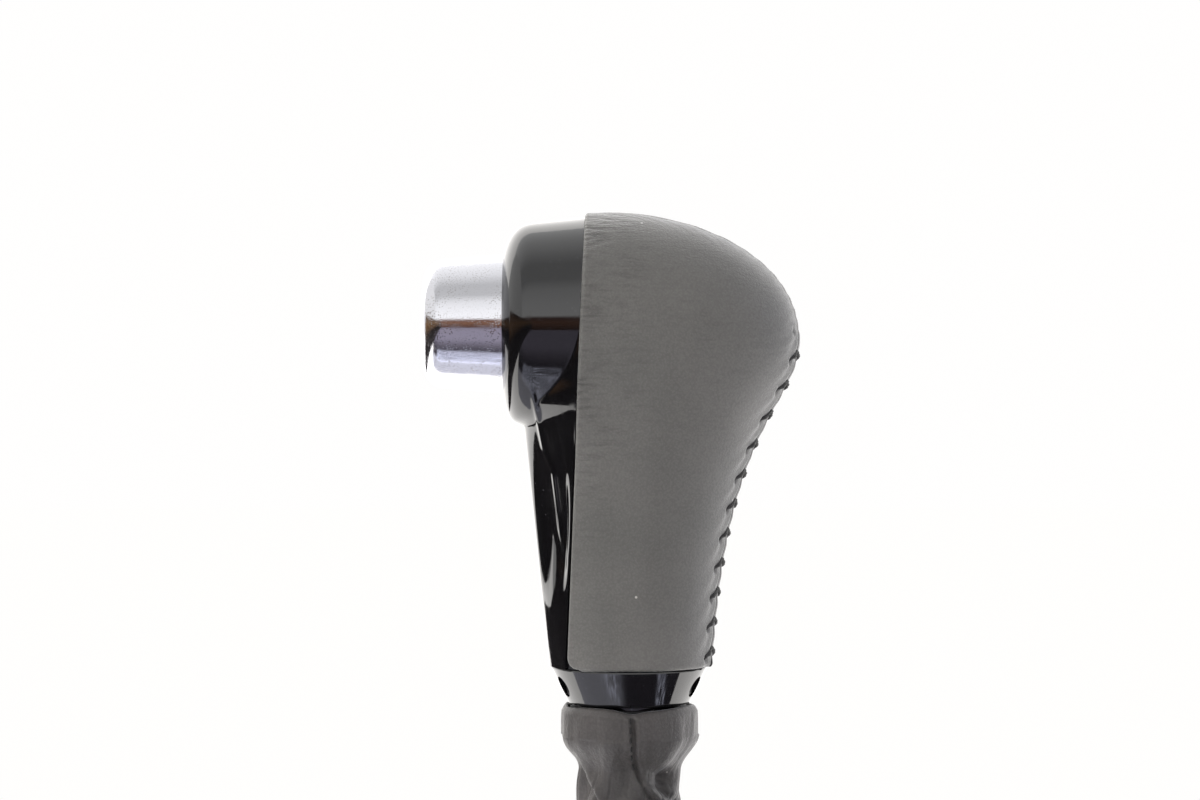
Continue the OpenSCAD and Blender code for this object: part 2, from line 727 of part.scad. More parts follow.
// Short stitches down the seam at the boot's side
module boot_thread() {
    lift = boot_stitch_lift + boot_stitch_r;
    color("#262422") for (i = [0:boot_stitches - 1])
        let (
            z = boot_stitch_top_z - i * boot_stitch_pitch,
            r = boot_radius(z) + lift,
            low = boot_radius(z - boot_stitch_len) + lift
        )
        peg([0, -low, z - boot_stitch_len], [0, -r, z], boot_stitch_r);
}

// Ring with a snap lip, which the leather is gathered over
module boot_ring() {
    color("#232427") difference() {
        union() {
            ring_z(ring_foot_z, ring_top_z, ring_r, ring_in_r);
            translate([0, 0, -spigot_len + groove_rise + lip_gap])
                ring_z(0, groove_h - 2 * lip_gap, ring_r, spigot_r - groove_depth + seat);
        }
        translate([0, 0, clamp_z - clamp_h / 2]) difference() {
            cylinder(h = clamp_h, r = ring_r + eps);
            translate([0, 0, -eps]) cylinder(h = clamp_h + 2 * eps, r = ring_r - clamp_t);
        }
    }
}
module boot_clamp() {
    color("#101010")
        ring_z(clamp_z - clamp_h / 2 + seat, clamp_z + clamp_h / 2 - seat, ring_r, ring_r - clamp_t + seat / 2);
}

leather_wrap();
wrap_thread();
fascia();
button_cap();
button_slider();
button_spring();
button_bumper();
slider_housing();
housing_screw_left();
housing_screw_right();
push_plunger();
plunger_bush();
grip_core();
lever_sleeve();
collar();
lock_screw_front();
lock_screw_rear();
boot();
boot_thread();
boot_ring();
boot_clamp();
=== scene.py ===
"""Looks of the gear shift knob: leather grip, gloss black front, chrome button, collar and boot.

Lengths in the classes are in millimetres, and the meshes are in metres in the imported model's frame:
+Z up the gear lever, -X to the front, where the button points, and the camera looks along +Y.
"""
import logging
import math
from dataclasses import dataclass, field
from enum import Enum
from typing import Dict, List, Optional, Sequence, Tuple

import bmesh
import bpy
import numpy as np
from mathutils import Euler, Matrix, Vector


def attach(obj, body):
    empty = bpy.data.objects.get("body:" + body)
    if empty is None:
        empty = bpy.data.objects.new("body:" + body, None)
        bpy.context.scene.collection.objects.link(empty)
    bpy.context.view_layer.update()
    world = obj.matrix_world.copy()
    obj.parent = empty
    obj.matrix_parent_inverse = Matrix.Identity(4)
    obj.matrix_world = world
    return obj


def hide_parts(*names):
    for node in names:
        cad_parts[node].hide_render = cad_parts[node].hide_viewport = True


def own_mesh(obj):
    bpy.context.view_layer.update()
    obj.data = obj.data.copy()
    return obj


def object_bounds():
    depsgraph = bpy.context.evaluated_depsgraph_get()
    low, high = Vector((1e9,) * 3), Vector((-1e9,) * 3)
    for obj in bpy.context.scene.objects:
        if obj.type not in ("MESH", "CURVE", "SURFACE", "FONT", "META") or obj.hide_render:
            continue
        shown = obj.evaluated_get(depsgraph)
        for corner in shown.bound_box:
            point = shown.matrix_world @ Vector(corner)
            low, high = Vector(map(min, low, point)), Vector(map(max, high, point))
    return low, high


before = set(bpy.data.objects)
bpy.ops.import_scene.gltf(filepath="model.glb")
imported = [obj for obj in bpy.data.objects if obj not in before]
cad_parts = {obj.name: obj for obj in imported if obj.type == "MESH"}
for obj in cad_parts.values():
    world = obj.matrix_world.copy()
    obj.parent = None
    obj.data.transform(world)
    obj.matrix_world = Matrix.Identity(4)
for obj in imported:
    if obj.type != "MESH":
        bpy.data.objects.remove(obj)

CAD_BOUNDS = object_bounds()
MM = 0.001
QUARTER = math.pi / 2
HIDDEN_GAP = 1e9
BISECTIONS = 34

log = logging.getLogger("gear_knob")

Point = Tuple[float, float, float]
Colour = Tuple[float, float, float, float]
Piece = bpy.types.Object
Material = bpy.types.Material
Node = bpy.types.Node
Shape = bmesh.types.BMesh


class Body(Enum):
    """The rigid bodies that new pieces ride on."""

    ROOT = "root"
    BUTTON = "button"


class Slot(Enum):
    """Material slots of the record; no piece is given one here, and the new pieces take their finish from
    the materials built in this script.
    """

    GRIP_LEATHER = "grip_leather"
    BOOT_LEATHER = "boot_leather"
    THREAD = "seam_thread"
    GLOSS = "gloss_black"
    CHROME = "chrome_plate"
    SPRING = "spring_steel"


def linear(colour: str, share: float = 1.0) -> Colour:
    """Turn an sRGB colour into linear RGBA.

    Args:
        colour: six hex digits.
        share: what the linear values are scaled by.

    Returns:
        The linear colour with an alpha of 1.
    """
    srgb = [int(colour[i:i + 2], 16) / 255 for i in (0, 2, 4)]
    values = [share * (c / 12.92 if c <= 0.04045 else ((c + 0.055) / 1.055) ** 2.4) for c in srgb]
    return (values[0], values[1], values[2], 1.0)


def grey(value: float) -> Colour:
    """Give a grey of the linear value."""
    return (value, value, value, 1.0)


def smooth(t: np.ndarray) -> np.ndarray:
    """Ease a ratio from 0 to 1 with flat ends."""
    u = np.clip(t, 0.0, 1.0)
    return u * u * (3 - 2 * u)


def bell(t: np.ndarray) -> np.ndarray:
    """Give a bell curve with a peak of 1 at 0."""
    return np.exp(-t ** 2)


def mix(a: float, b: float, t: np.ndarray) -> np.ndarray:
    """Blend a into b by the ratio t."""
    return a + (b - a) * t


def bezier(points: Sequence[float], t: np.ndarray) -> np.ndarray:
    """Give one coordinate of a cubic curve.

    Args:
        points: its four control values.
        t: the places along the curve, from 0 to 1.

    Returns:
        The coordinate at each place.
    """
    a, b, c, d = points
    s = 1 - t
    return a * s ** 3 + 3 * b * s * s * t + 3 * c * s * t * t + d * t ** 3


def along_curve(heights: Sequence[float], values: Sequence[float], z: np.ndarray) -> np.ndarray:
    """Read a cubic curve by height.

    Args:
        heights: the curve's four control heights, falling.
        values: its four control values.
        z: the heights to read at.

    Returns:
        The value at each height.
    """
    t = np.linspace(0, 1, 800)
    return np.interp(z, bezier(heights, t)[::-1], bezier(values, t)[::-1])


class Graph:
    """A shader's node tree. A node that is given as a value stands for its first output."""

    def __init__(self, owner: bpy.types.ID) -> None:
        """Empty the tree of a material or a world.

        Args:
            owner: the material or world.
        """
        owner.use_nodes = True
        self.tree = owner.node_tree
        self.tree.nodes.clear()

    def add(self, kind: str, settings: Optional[Dict[str, object]] = None,
            **inputs: object) -> Node:
        """Add a shader node with its settings, input values and links.

        Args:
            kind: the node's type without the leading ShaderNode.
            settings: attributes of the node.
            inputs: values, nodes or sockets by input name, with spaces as underscores; i0, i1 and so
                on name an input by its place.

        Returns:
            The new node.
        """
        node = self.tree.nodes.new("ShaderNode" + kind)
        for name, value in (settings or {}).items():
            setattr(node, name, value)
        for name, value in inputs.items():
            by_place = name[0] == "i" and name[1:].isdigit()
            socket = node.inputs[int(name[1:])] if by_place else node.inputs[name.replace("_", " ")]
            source = value.outputs[0] if isinstance(value, Node) else value
            if isinstance(source, bpy.types.NodeSocket):
                self.tree.links.new(source, socket)
            else:
                socket.default_value = source
        return node

    def math(self, operation: str, *values: object) -> Node:
        """Combine values by a math operation."""
        return self.add("Math", {"operation": operation}, **{f"i{k}": v for k, v in enumerate(values)})

    def points(self, size_mm: float, stretch: Point = (1.0, 1.0, 1.0)) -> Node:
        """Scale Object coordinates so that one pattern unit is size_mm long, times stretch."""
        scale = tuple(1 / (size_mm * MM * s) for s in stretch)
        return self.add("Mapping", Vector=self.add("TexCoord").outputs["Object"], Scale=scale)

    def axes(self) -> bpy.types.bpy_prop_collection:
        """Give the Object coordinates as sockets by axis."""
        return self.add("SeparateXYZ", Vector=self.add("TexCoord").outputs["Object"]).outputs

    def noise(self, size_mm: float, detail: float, stretch: Point = (1.0, 1.0, 1.0),
              **inputs: float) -> Node:
        """Add a noise pattern of a size."""
        return self.add("TexNoise", Vector=self.points(size_mm, stretch), Scale=1.0, Detail=detail,
                        **inputs)

    def cells(self, size_mm: float, **settings: str) -> Node:
        """Add the distances of a cell pattern of a size."""
        return self.add("TexVoronoi", settings, Vector=self.points(size_mm), Scale=1.0)

    def ramp(self, factor: object, *stops: Tuple[float, Colour]) -> Node:
        """Add a colour ramp.

        Args:
            factor: what it reads.
            stops: its positions with their colours.

        Returns:
            The ramp.
        """
        node = self.add("ValToRGB", Fac=factor)
        elements = node.color_ramp.elements
        elements[0].position, elements[0].color = stops[0]
        elements[1].position, elements[1].color = stops[-1]
        for position, colour in stops[1:-1]:
            elements.new(position).color = colour
        return node

    def span(self, value: object, low: float, high: float, start: float = 0.0, end: float = 1.0,
             ease: bool = False) -> Node:
        """Map the range from low to high to the range from start to end.

        Args:
            value: what is mapped.
            low: the first range's lower end.
            high: its upper end.
            start: what low becomes.
            end: what high becomes.
            ease: whether the ends are flat.

        Returns:
            The mapping node.
        """
        kind = "SMOOTHSTEP" if ease else "LINEAR"
        return self.add("MapRange", {"interpolation_type": kind}, Value=value, From_Min=low,
                        From_Max=high, To_Min=start, To_Max=end)

    def mix(self, factor: object, first: object, second: object, blend: str = "MIX") -> Node:
        """Mix two colours by a factor."""
        return self.add("MixRGB", {"blend_type": blend}, Fac=factor, Color1=first, Color2=second)

    def bump(self, height: object, strength: object, depth_mm: float, invert: bool = False,
             **inputs: object) -> Node:
        """Add a bump of a depth."""
        return self.add("Bump", {"invert": invert}, Strength=strength, Distance=depth_mm * MM,
                        Height=height, **inputs)

    def glow(self, colour: object, strength: float) -> None:
        """Close a material's tree with plain light of a colour."""
        self.add("OutputMaterial", Surface=self.add("Emission", Color=colour, Strength=strength))


@dataclass(frozen=True)
class Finish:
    """A material with one Principled shader, whose inputs a subclass gives."""

    name: str

    def inputs(self, graph: Graph) -> Dict[str, object]:
        """Give the shader's inputs by name, with spaces as underscores."""
        raise NotImplementedError

    def build(self) -> Material:
        """Build the material.

        Returns:
            The material.
        """
        material = bpy.data.materials.new(self.name)
        graph = Graph(material)
        graph.add("OutputMaterial", Surface=graph.add("BsdfPrincipled", **self.inputs(graph)))
        return material


@dataclass(frozen=True)
class Leather(Finish):
    """Dyed cowhide with a fine grain: satin, with soft wide highlights, creases and specks of lint; near the
    split the creases also get painted shade.
    """

    light: str = "706e6b"
    dark: str = "646360"
    lint: str = "cfccc6"
    cloud_mm: float = 26.0
    grain_mm: float = 0.42
    grain_depth_mm: float = 0.09
    lint_mm: float = 9.0
    crease_mm: float = 0.9
    crease_stretch: Point = (5.0, 5.0, 1.0)
    crease_depth_mm: float = 0.95
    roughness: float = 0.45
    sheen: float = 0.4
    split_lean: float = 0.0428
    split_mm: float = 13.2
    near_split: bool = False

    def inputs(self, graph: Graph) -> Dict[str, object]:
        """Lay the tint, the grain, the lint and the creases, with painted shade darkening the creases'
        furrows near the split.

        Args:
            graph: the material's tree.

        Returns:
            The shader's inputs.
        """
        clouds = graph.noise(self.cloud_mm, 2.0)
        tint = graph.ramp(clouds, (0.32, linear(self.dark)), (0.68, linear(self.light)))
        pores = graph.cells(self.grain_mm, feature="SMOOTH_F1")
        grain = graph.math("MULTIPLY_ADD", graph.noise(self.grain_mm * 0.5, 3.0), 0.8, pores)
        shaded = graph.ramp(grain, (0.4, grey(1.0)), (1.05, grey(0.78)))
        specks = graph.ramp(graph.cells(self.lint_mm), (0.022, grey(0.75)), (0.034, grey(0)))
        surface = graph.mix(specks, graph.mix(1.0, tint, shaded, "MULTIPLY"), linear(self.lint))
        creases = graph.noise(self.crease_mm, 4.0, self.crease_stretch, Roughness=0.62)
        strength: object = 0.6
        if self.near_split:
            strength = self.split_mask(graph)
            # painted shade: the colour is darkened in the crease furrows near the split, where shade would
            # fall
            painted_crease_shade = graph.ramp(creases, (0.36, grey(0.62)), (0.53, grey(1.0)))
            surface = graph.mix(strength, surface, painted_crease_shade, "MULTIPLY")
        pitted = graph.bump(grain, 0.7, self.grain_depth_mm, invert=True)
        return dict(
            Base_Color=surface,
            Roughness=graph.span(clouds, 0, 1, self.roughness + 0.06, self.roughness - 0.05),
            Normal=graph.bump(creases, strength, self.crease_depth_mm, Normal=pitted),
            IOR=1.5, Sheen_Weight=self.sheen, Sheen_Roughness=0.3)

    def split_mask(self, graph: Graph) -> Node:
        """Fade the creases and their painted shade from the split's edge backward, and keep a little
        everywhere.

        Args:
            graph: the material's tree.

        Returns:
            The mask, from 0 to 1.
        """
        place = graph.axes()
        split = graph.math("MULTIPLY_ADD", place["Z"], -self.split_lean, self.split_mm * MM)
        behind = graph.math("ADD", place["X"], split)
        near = graph.span(behind, 0.001, 0.014, 1.0, 0.2)
        high = graph.span(place["Z"], 0.03, 0.06, 0.25, 1.0)
        some = graph.span(graph.noise(9.0, 1.0), 0.35, 0.6, 0.4, 1.0)
        return graph.math("MULTIPLY", graph.math("MULTIPLY", near, high), some)


@dataclass(frozen=True)
class GlossPlastic(Finish):
    """Polished black ABS: a deep mirror gloss with dust and fine wipe marks."""

    colour: str = "0a0a0c"
    dust: str = "8f8f96"
    dust_mm: float = 1.3
    patch_mm: float = 14.0
    wipe_mm: float = 1.6
    roughness: float = 0.045

    def inputs(self, graph: Graph) -> Dict[str, object]:
        """Lay the dust in patches, and the wipe marks.

        Args:
            graph: the material's tree.

        Returns:
            The shader's inputs.
        """
        where = graph.ramp(graph.noise(self.patch_mm, 2.0), (0.46, grey(0)), (0.66, grey(1)))
        dots = graph.ramp(graph.cells(self.dust_mm), (0.05, grey(0.3)), (0.12, grey(0)))
        amount = graph.math("MULTIPLY", dots, where)
        wipes = graph.noise(self.wipe_mm, 5.0, (1.0, 1.0, 6.0))
        return dict(
            Base_Color=graph.mix(amount, linear(self.colour), linear(self.dust)),
            Roughness=graph.span(wipes, 0.45, 0.8, self.roughness, self.roughness + 0.13),
            Normal=graph.bump(wipes, 0.12, 0.05), IOR=1.75)


@dataclass(frozen=True)
class Chrome(Finish):
    """Decorative chrome plate on ABS: a mirror with pits and rubbed patches."""

    colour: str = "dddde2"
    worn: str = "8d8880"
    pit_mm: float = 0.42
    patch_mm: float = 5.0
    rub_mm: float = 0.8
    roughness: float = 0.06

    def inputs(self, graph: Graph) -> Dict[str, object]:
        """Lay the pits in patches, and the rubbing.

        Args:
            graph: the material's tree.

        Returns:
            The shader's inputs.
        """
        where = graph.ramp(graph.noise(self.patch_mm, 4.0), (0.38, grey(0.1)), (0.6, grey(0.65)))
        dots = graph.ramp(graph.cells(self.pit_mm), (0.1, grey(1)), (0.4, grey(0)))
        amount = graph.math("MULTIPLY", dots, where)
        rub = graph.noise(self.rub_mm, 5.0, (6.0, 1.0, 1.0))
        return dict(
            Base_Color=graph.mix(amount, linear(self.colour), linear(self.worn)),
            Roughness=graph.span(rub, 0.4, 0.75, self.roughness, self.roughness + 0.16),
            Normal=graph.bump(amount, 0.4, 0.07, invert=True), Metallic=1.0)


@dataclass(frozen=True)
class Moulded(Finish):
    """Injection-moulded polymer or rubber with a fine spark-eroded texture."""

    colour: str
    roughness: float = 0.55
    texture_mm: float = 0.4

    def inputs(self, graph: Graph) -> Dict[str, object]:
        """Lay the texture.

        Args:
            graph: the material's tree.

        Returns:
            The shader's inputs.
        """
        texture = graph.noise(self.texture_mm, 3.0)
        return dict(
            Base_Color=graph.ramp(texture, (0.35, linear(self.colour, 0.82)), (0.65, linear(self.colour))),
            Roughness=graph.span(texture, 0, 1, self.roughness - 0.08, self.roughness + 0.08),
            Normal=graph.bump(texture, 0.25, 0.05))


@dataclass(frozen=True)
class Steel(Finish):
    """Plated or drawn steel: metallic, with fine drawing marks along Z."""

    colour: str
    roughness: float = 0.3
    mark_mm: float = 0.3

    def inputs(self, graph: Graph) -> Dict[str, object]:
        """Lay the drawing marks.

        Args:
            graph: the material's tree.

        Returns:
            The shader's inputs.
        """
        marks = graph.noise(self.mark_mm, 4.0, (1.0, 1.0, 12.0))
        return dict(
            Base_Color=graph.ramp(marks, (0.3, linear(self.colour, 0.75)), (0.7, linear(self.colour))),
            Roughness=graph.span(marks, 0, 1, self.roughness - 0.08, self.roughness + 0.12),
            Normal=graph.bump(marks, 0.2, 0.03), Metallic=1.0)


@dataclass(frozen=True)
class Thread(Finish):
    """Waxed polyester thread: dark, with a low sheen and a ply that shows as fine ridges."""

    colour: str = "232222"
    ply_mm: float = 0.5

    def inputs(self, graph: Graph) -> Dict[str, object]:
        """Lay the ply.

        Args:
            graph: the material's tree.

        Returns:
            The shader's inputs.
        """
        ply = graph.add("TexWave", {"wave_type": "BANDS", "bands_direction": "DIAGONAL"},
                        Vector=graph.points(self.ply_mm), Scale=1.0, Distortion=1.0,
                        Detail=2.0).outputs["Fac"]
        return dict(
            Base_Color=graph.ramp(ply, (0.1, linear(self.colour, 0.45)), (0.7, linear(self.colour))),
            Normal=graph.bump(ply, 0.6, 0.1), Roughness=0.6, Sheen_Weight=0.05)


def link_mesh(name: str, bm: Shape,
              material: Optional[Material] = None) -> Piece:
    """Put a shape into the scene.

    Args:
        name: the object's name.
        bm: the shape in metres; it is freed.
        material: its finish, if it has one.

    Returns:
        The new object.
    """
    mesh = bpy.data.meshes.new(name)
    bm.to_mesh(mesh)
    bm.free()
    if material:
        mesh.materials.append(material)
    thing = bpy.data.objects.new(name, mesh)
    bpy.context.scene.collection.objects.link(thing)
    return thing


def finish_mesh(name: str, bm: Shape, material: Material, body: Body) -> Piece:
    """Turn a shape into a smooth-shaded piece of the model.

    Args:
        name: the piece's name.
        bm: the shape in metres; it is freed.
        material: its finish.
        body: the body that it rides on.

    Returns:
        The new object.
    """
    piece = link_mesh(name, bm, material)
    piece.data.shade_smooth()
    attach(piece, body.value)
    return piece


def apply_modifiers(piece: Piece) -> None:
    """Replace a piece's mesh by its evaluated mesh and drop its modifiers.

    Args:
        piece: the piece.
    """
    graph = bpy.context.evaluated_depsgraph_get()
    mesh = bpy.data.meshes.new_from_object(piece.evaluated_get(graph))
    piece.modifiers.clear()
    piece.data = mesh


def thicken(piece: Piece, thickness: float) -> None:
    """Give a skin its thickness, inward.

    Args:
        piece: the skin.
        thickness: in millimetres.
    """
    solid = piece.modifiers.new("thickness", "SOLIDIFY")
    solid.thickness = thickness * MM
    solid.offset = -1.0
    apply_modifiers(piece)


def sharpen(bm: Shape, angle_deg: float) -> None:
    """Mark edges sharper than an angle, so that smooth shading stops there."""
    for edge in bm.edges:
        if len(edge.link_faces) == 2 and edge.calc_face_angle(0.0) > math.radians(angle_deg):
            edge.smooth = False


def cut_away(piece: Piece, tool: Shape, angle_deg: float) -> None:
    """Cut a shape out of a piece.

    Args:
        piece: the piece.
        tool: the shape that goes; it is freed.
        angle_deg: the angle from which the piece's edges are sharp.
    """
    cutter = link_mesh("cutter", tool)
    cut = piece.modifiers.new("cut", "BOOLEAN")
    cut.operation = "DIFFERENCE"
    cut.solver = "EXACT"
    cut.object = cutter
    apply_modifiers(piece)
    mesh = cutter.data
    bpy.data.objects.remove(cutter)
    bpy.data.meshes.remove(mesh)
    bm = bmesh.new()
    bm.from_mesh(piece.data)
    sharpen(bm, angle_deg)
    bm.to_mesh(piece.data)
    bm.free()


def add_rod(bm: Shape, radius: float, depth: float, sides: int, place: Matrix) -> None:
    """Add a capped cylinder of a radius and depth in millimetres."""
    bmesh.ops.create_cone(bm, cap_ends=True, segments=sides, radius1=radius * MM, radius2=radius * MM,
                          depth=depth * MM, matrix=place)


def draped_grid(surface: np.ndarray) -> Shape:
    """Lay a grid over a surface.

    Args:
        surface: points in millimetres, as rows of columns.

    Returns:
        A grid with its vertices on the points, in metres, and its doubles merged.
    """
    rows, cols = surface.shape[:2]
    bm = bmesh.new()
    bmesh.ops.create_grid(bm, x_segments=cols - 1, y_segments=rows - 1, size=0.5)
    for vert in bm.verts:
        i = round((vert.co.x + 0.5) * (cols - 1))
        j = round((vert.co.y + 0.5) * (rows - 1))
        vert.co = Vector(surface[j, i]) * MM
    bmesh.ops.remove_doubles(bm, verts=bm.verts, dist=0.00001)
    return bm


def surface_normals(surface: np.ndarray) -> np.ndarray:
    """Give the unit normals of a surface.

    Args:
        surface: its points, in rows that run up and columns that run anticlockwise.

    Returns:
        The normal at each point.
    """
    normal = np.cross(np.gradient(surface, axis=1), np.gradient(surface, axis=0))
    size = np.linalg.norm(normal, axis=2, keepdims=True)
    normal = normal / np.maximum(size, 1e-9)
    normal[size[..., 0] < 1e-6] = (0.0, 0.0, 1.0)
    return normal


def nearest(surface: np.ndarray, axes: Tuple[int, int], place: Tuple[float, float],
            seen: np.ndarray) -> np.ndarray:
    """Find the surface's point at a place in a projection.

    Args:
        surface: the surface's points.
        axes: the two axes of the projection.
        place: the place along both.
        seen: which of the points count.

    Returns:
        The nearest point.
    """
    gap = sum((surface[..., axis] - at) ** 2 for axis, at in zip(axes, place))
    j, i = np.unravel_index(int(np.argmin(np.where(seen, gap, HIDDEN_GAP))), seen.shape)
    return surface[j, i]


def resample(section: np.ndarray, places: np.ndarray) -> np.ndarray:
    """Read a polyline at distances along it.

    Args:
        section: the polyline's points.
        places: the distances, in its units.

    Returns:
        The point at each distance.
    """
    steps = np.linalg.norm(np.diff(section, axis=0), axis=1)
    run = np.concatenate([[0.0], np.cumsum(steps)])
    return np.stack([np.interp(places, run, section[:, k]) for k in range(3)], axis=1)


def length_of(section: np.ndarray) -> float:
    """Give a polyline's length."""
    return float(np.linalg.norm(np.diff(section, axis=0), axis=1).sum())


def tube(bm: Shape, path: Sequence[Vector], radius: float, sides: int = 10,
         taper: float = 0.6, shrink: float = 0.0) -> None:
    """Sweep a round tube with rounded ends along a path in metres.

    Args:
        bm: the mesh that takes the tube.
        path: the points along the middle.
        radius: the tube's radius in millimetres.
        sides: the number of sides.
        taper: the radius of the ends as a share of the radius.
        shrink: how much thinner the tube is at its last point.
    """
    last = len(path) - 1
    ring: List[bmesh.types.BMVert] = []
    for i, point in enumerate(path):
        ahead = (path[min(i + 1, last)] - path[max(i - 1, 0)]).normalized()
        turn = ahead.to_track_quat("Z", "Y").to_matrix().to_4x4()
        size = radius * MM * (taper if i in (0, last) else 1.0) * (1 - shrink * i / last)
        made = bmesh.ops.create_circle(bm, segments=sides, radius=size,
                                       matrix=Matrix.Translation(point) @ turn)["verts"]
        if ring:
            edges = {e for v in ring + made for e in v.link_edges
                     if e.other_vert(v) in ring or e.other_vert(v) in made}
            loose = [e for e in edges if (e.verts[0] in ring) == (e.verts[1] in ring)]
            bmesh.ops.bridge_loops(bm, edges=[e for e in loose if len(e.link_faces) < 2])
        else:
            bmesh.ops.contextual_create(bm, geom=made)
        ring = made
    bmesh.ops.contextual_create(bm, geom=ring)


def spun(profile: Sequence[Tuple[float, float]], steps: int = 144) -> Shape:
    """Spin a profile round Z into a closed skin.

    Args:
        profile: (radius, height) pairs in millimetres, whose ends lie on the axis or meet.
        steps: the number of steps round.

    Returns:
        The skin in metres, with its doubles merged and its normals outward.
    """
    bm = bmesh.new()
    verts = [bm.verts.new((r * MM, 0.0, h * MM)) for r, h in profile]
    edges = [bm.edges.new(pair) for pair in zip(verts, verts[1:])]
    bmesh.ops.spin(bm, geom=verts + edges, cent=(0, 0, 0), axis=(0, 0, 1), angle=2 * math.pi,
                   steps=steps, use_merge=True)
    bmesh.ops.remove_doubles(bm, verts=bm.verts, dist=0.000005)
    bmesh.ops.recalc_face_normals(bm, faces=bm.faces)
    return bm


@dataclass
class Form:
    """The knob's driving sizes in millimetres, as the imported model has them."""

    base_z: float = 7.6
    split_top_z: float = 98.8
    split_base_x: float = -12.9
    split_top_x: float = -9.0
    palm_reach: float = 34.6
    palm_z: float = 74.5
    base_reach: float = 16.8
    head_half_w: float = 22.6
    base_half_w: float = 16.0
    leather_t: float = 1.2
    leather_proud: float = 1.0
    drum_z: float = 77.2
    drum_face_x: float = -26.7
    drum_r: float = 19.8
    drum_taper: float = 0.1
    drum_edge: float = 8.0
    stem_base_x: float = -16.3
    stem_lean: float = 0.107
    crown_x: float = -4.0
    body_power: float = 2.2
    stem_power: float = 1.9
    drum_power: float = 3.0
    stem_hollow: float = 2.2
    blend: float = 8.0

    @property
    def crown_z(self) -> float:
        """Height of the crown."""
        return self.drum_z + self.head_half_w

    def split_x(self, z: np.ndarray) -> np.ndarray:
        """Place of the split at a height."""
        return mix(self.split_base_x, self.split_top_x, (z - self.base_z) / (self.split_top_z - self.base_z))

    def back_reach(self, z: np.ndarray) -> np.ndarray:
        """Reach of the grip's back.

        Args:
            z: the heights.

        Returns:
            The distance behind the lever axis at each height.
        """
        head = along_curve((self.crown_z, self.crown_z, self.palm_z + 15.5, self.palm_z),
                           (self.crown_x, self.crown_x + 19, self.palm_reach, self.palm_reach), z)
        foot = along_curve((self.palm_z, self.palm_z - 14.3, self.base_z + 51.4, self.base_z),
                           (self.palm_reach, self.palm_reach, self.base_reach + 2.9, self.base_reach), z)
        return np.where(z > self.palm_z, head, foot)

    def half_width(self, z: np.ndarray) -> np.ndarray:
        """Half width of the grip.

        Args:
            z: the heights.

        Returns:
            The half width at each height.
        """
        head = np.sqrt(np.maximum(0.0, self.head_half_w ** 2 - (z - self.drum_z) ** 2))
        foot = along_curve((self.drum_z, self.drum_z - 16, self.base_z + 42, self.base_z),
                           (self.head_half_w, self.head_half_w, self.base_half_w + 1, self.base_half_w), z)
        return np.where(z > self.drum_z, head, foot)

    def section_x(self, z: np.ndarray) -> np.ndarray:
        """Centre of the sections, which moves forward under the crown."""
        return self.crown_x * smooth((z - self.drum_z) / (self.crown_z - self.drum_z))

    def front_axis(self, z: np.ndarray) -> np.ndarray:
        """Front half axis of the leather's sections."""
        foot = -self.stem_base_x + self.stem_lean * (z - self.base_z) + self.leather_proud
        return foot + (60.0 - foot) * smooth((z - 50) / 28)

    def grip_section(self, z: float, samples: int, front_x: float) -> np.ndarray:
        """Give the leather's section at a height, from the near split edge round the back.

        Args:
            z: the height.
            samples: the number of points.
            front_x: where the section ends at the front.

        Returns:
            Points in millimetres.
        """
        cx = float(self.section_x(z))
        back = float(self.back_reach(z)) - cx
        front = float(self.front_axis(z))
        width = float(self.half_width(z))
        ratio = min(1.0, max(0.0, (cx - front_x) / front))
        turn = math.acos(-ratio ** (self.body_power / 2))
        angle = np.linspace(-turn, turn, samples)
        cosine, sine = np.cos(angle), np.sin(angle)
        power = 2 / self.body_power
        x = cx + np.where(cosine > 0, back, front) * np.sign(cosine) * np.abs(cosine) ** power
        y = width * np.sign(sine) * np.abs(sine) ** power
        return np.stack([x, y, np.full(samples, z)], axis=1)

    def drum_radius(self, x: np.ndarray) -> np.ndarray:
        """Radius of the drum, with its rounded front edge.

        Args:
            x: the places along the button's axis.

        Returns:
            The radius at each place.
        """
        u = np.clip((x - self.drum_face_x) / self.drum_edge, 0, 1)
        edge = (1 - (1 - u) ** self.drum_power) ** (1 / self.drum_power)
        return (self.drum_r + self.drum_taper * (x - self.drum_face_x)) * edge

    def drum_reach(self, bearing: np.ndarray, z: float) -> np.ndarray:
        """Find the drum's wall.

        Args:
            bearing: the directions from the lever axis.
            z: the height.

        Returns:
            The distance to the wall along each bearing.
        """
        low = np.zeros_like(bearing)
        high = np.full_like(bearing, 32.0)
        for _ in range(BISECTIONS):
            mid = (low + high) / 2
            x = mid * np.cos(bearing)
            room = self.drum_radius(x) ** 2 - (z - self.drum_z) ** 2
            inside = (x > self.drum_face_x) & (room > 0) & (
                np.abs(mid * np.sin(bearing)) < np.sqrt(np.maximum(room, 0)))
            low = np.where(inside, mid, low)
            high = np.where(inside, high, mid)
        return (low + high) / 2

    def stem_reach(self, bearing: np.ndarray, z: float) -> np.ndarray:
        """Find the stem's wall, with the hollow down its side.

        Args:
            bearing: the directions from the lever axis.
            z: the height.

        Returns:
            The distance to the wall along each bearing.
        """
        if z > self.drum_z:
            return np.zeros_like(bearing)
        depth = -self.stem_base_x + self.stem_lean * (z - self.base_z)
        split = float(self.split_x(z))
        ahead = (float(self.section_x(z)) - split) / float(self.front_axis(z))
        edge_w = float(self.half_width(z)) * (1 - ahead ** self.body_power) ** (1 / self.body_power)
        edge_w -= self.leather_proud
        power = self.stem_power
        width = edge_w / (1 - (-split / depth) ** power) ** (1 / power)
        cosine, sine = np.abs(np.cos(bearing)), np.abs(np.sin(bearing))
        wall = ((cosine / depth) ** power + (sine / width) ** power) ** (-1 / power)
        side = sine * math.hypot(edge_w, split) / edge_w
        hollow = self.stem_hollow * float(smooth((z - 18) / 22) * smooth((62 - z) / 34))
        return wall - hollow * smooth((side - 0.2) / 0.35) * smooth((1 - side) / 0.14)

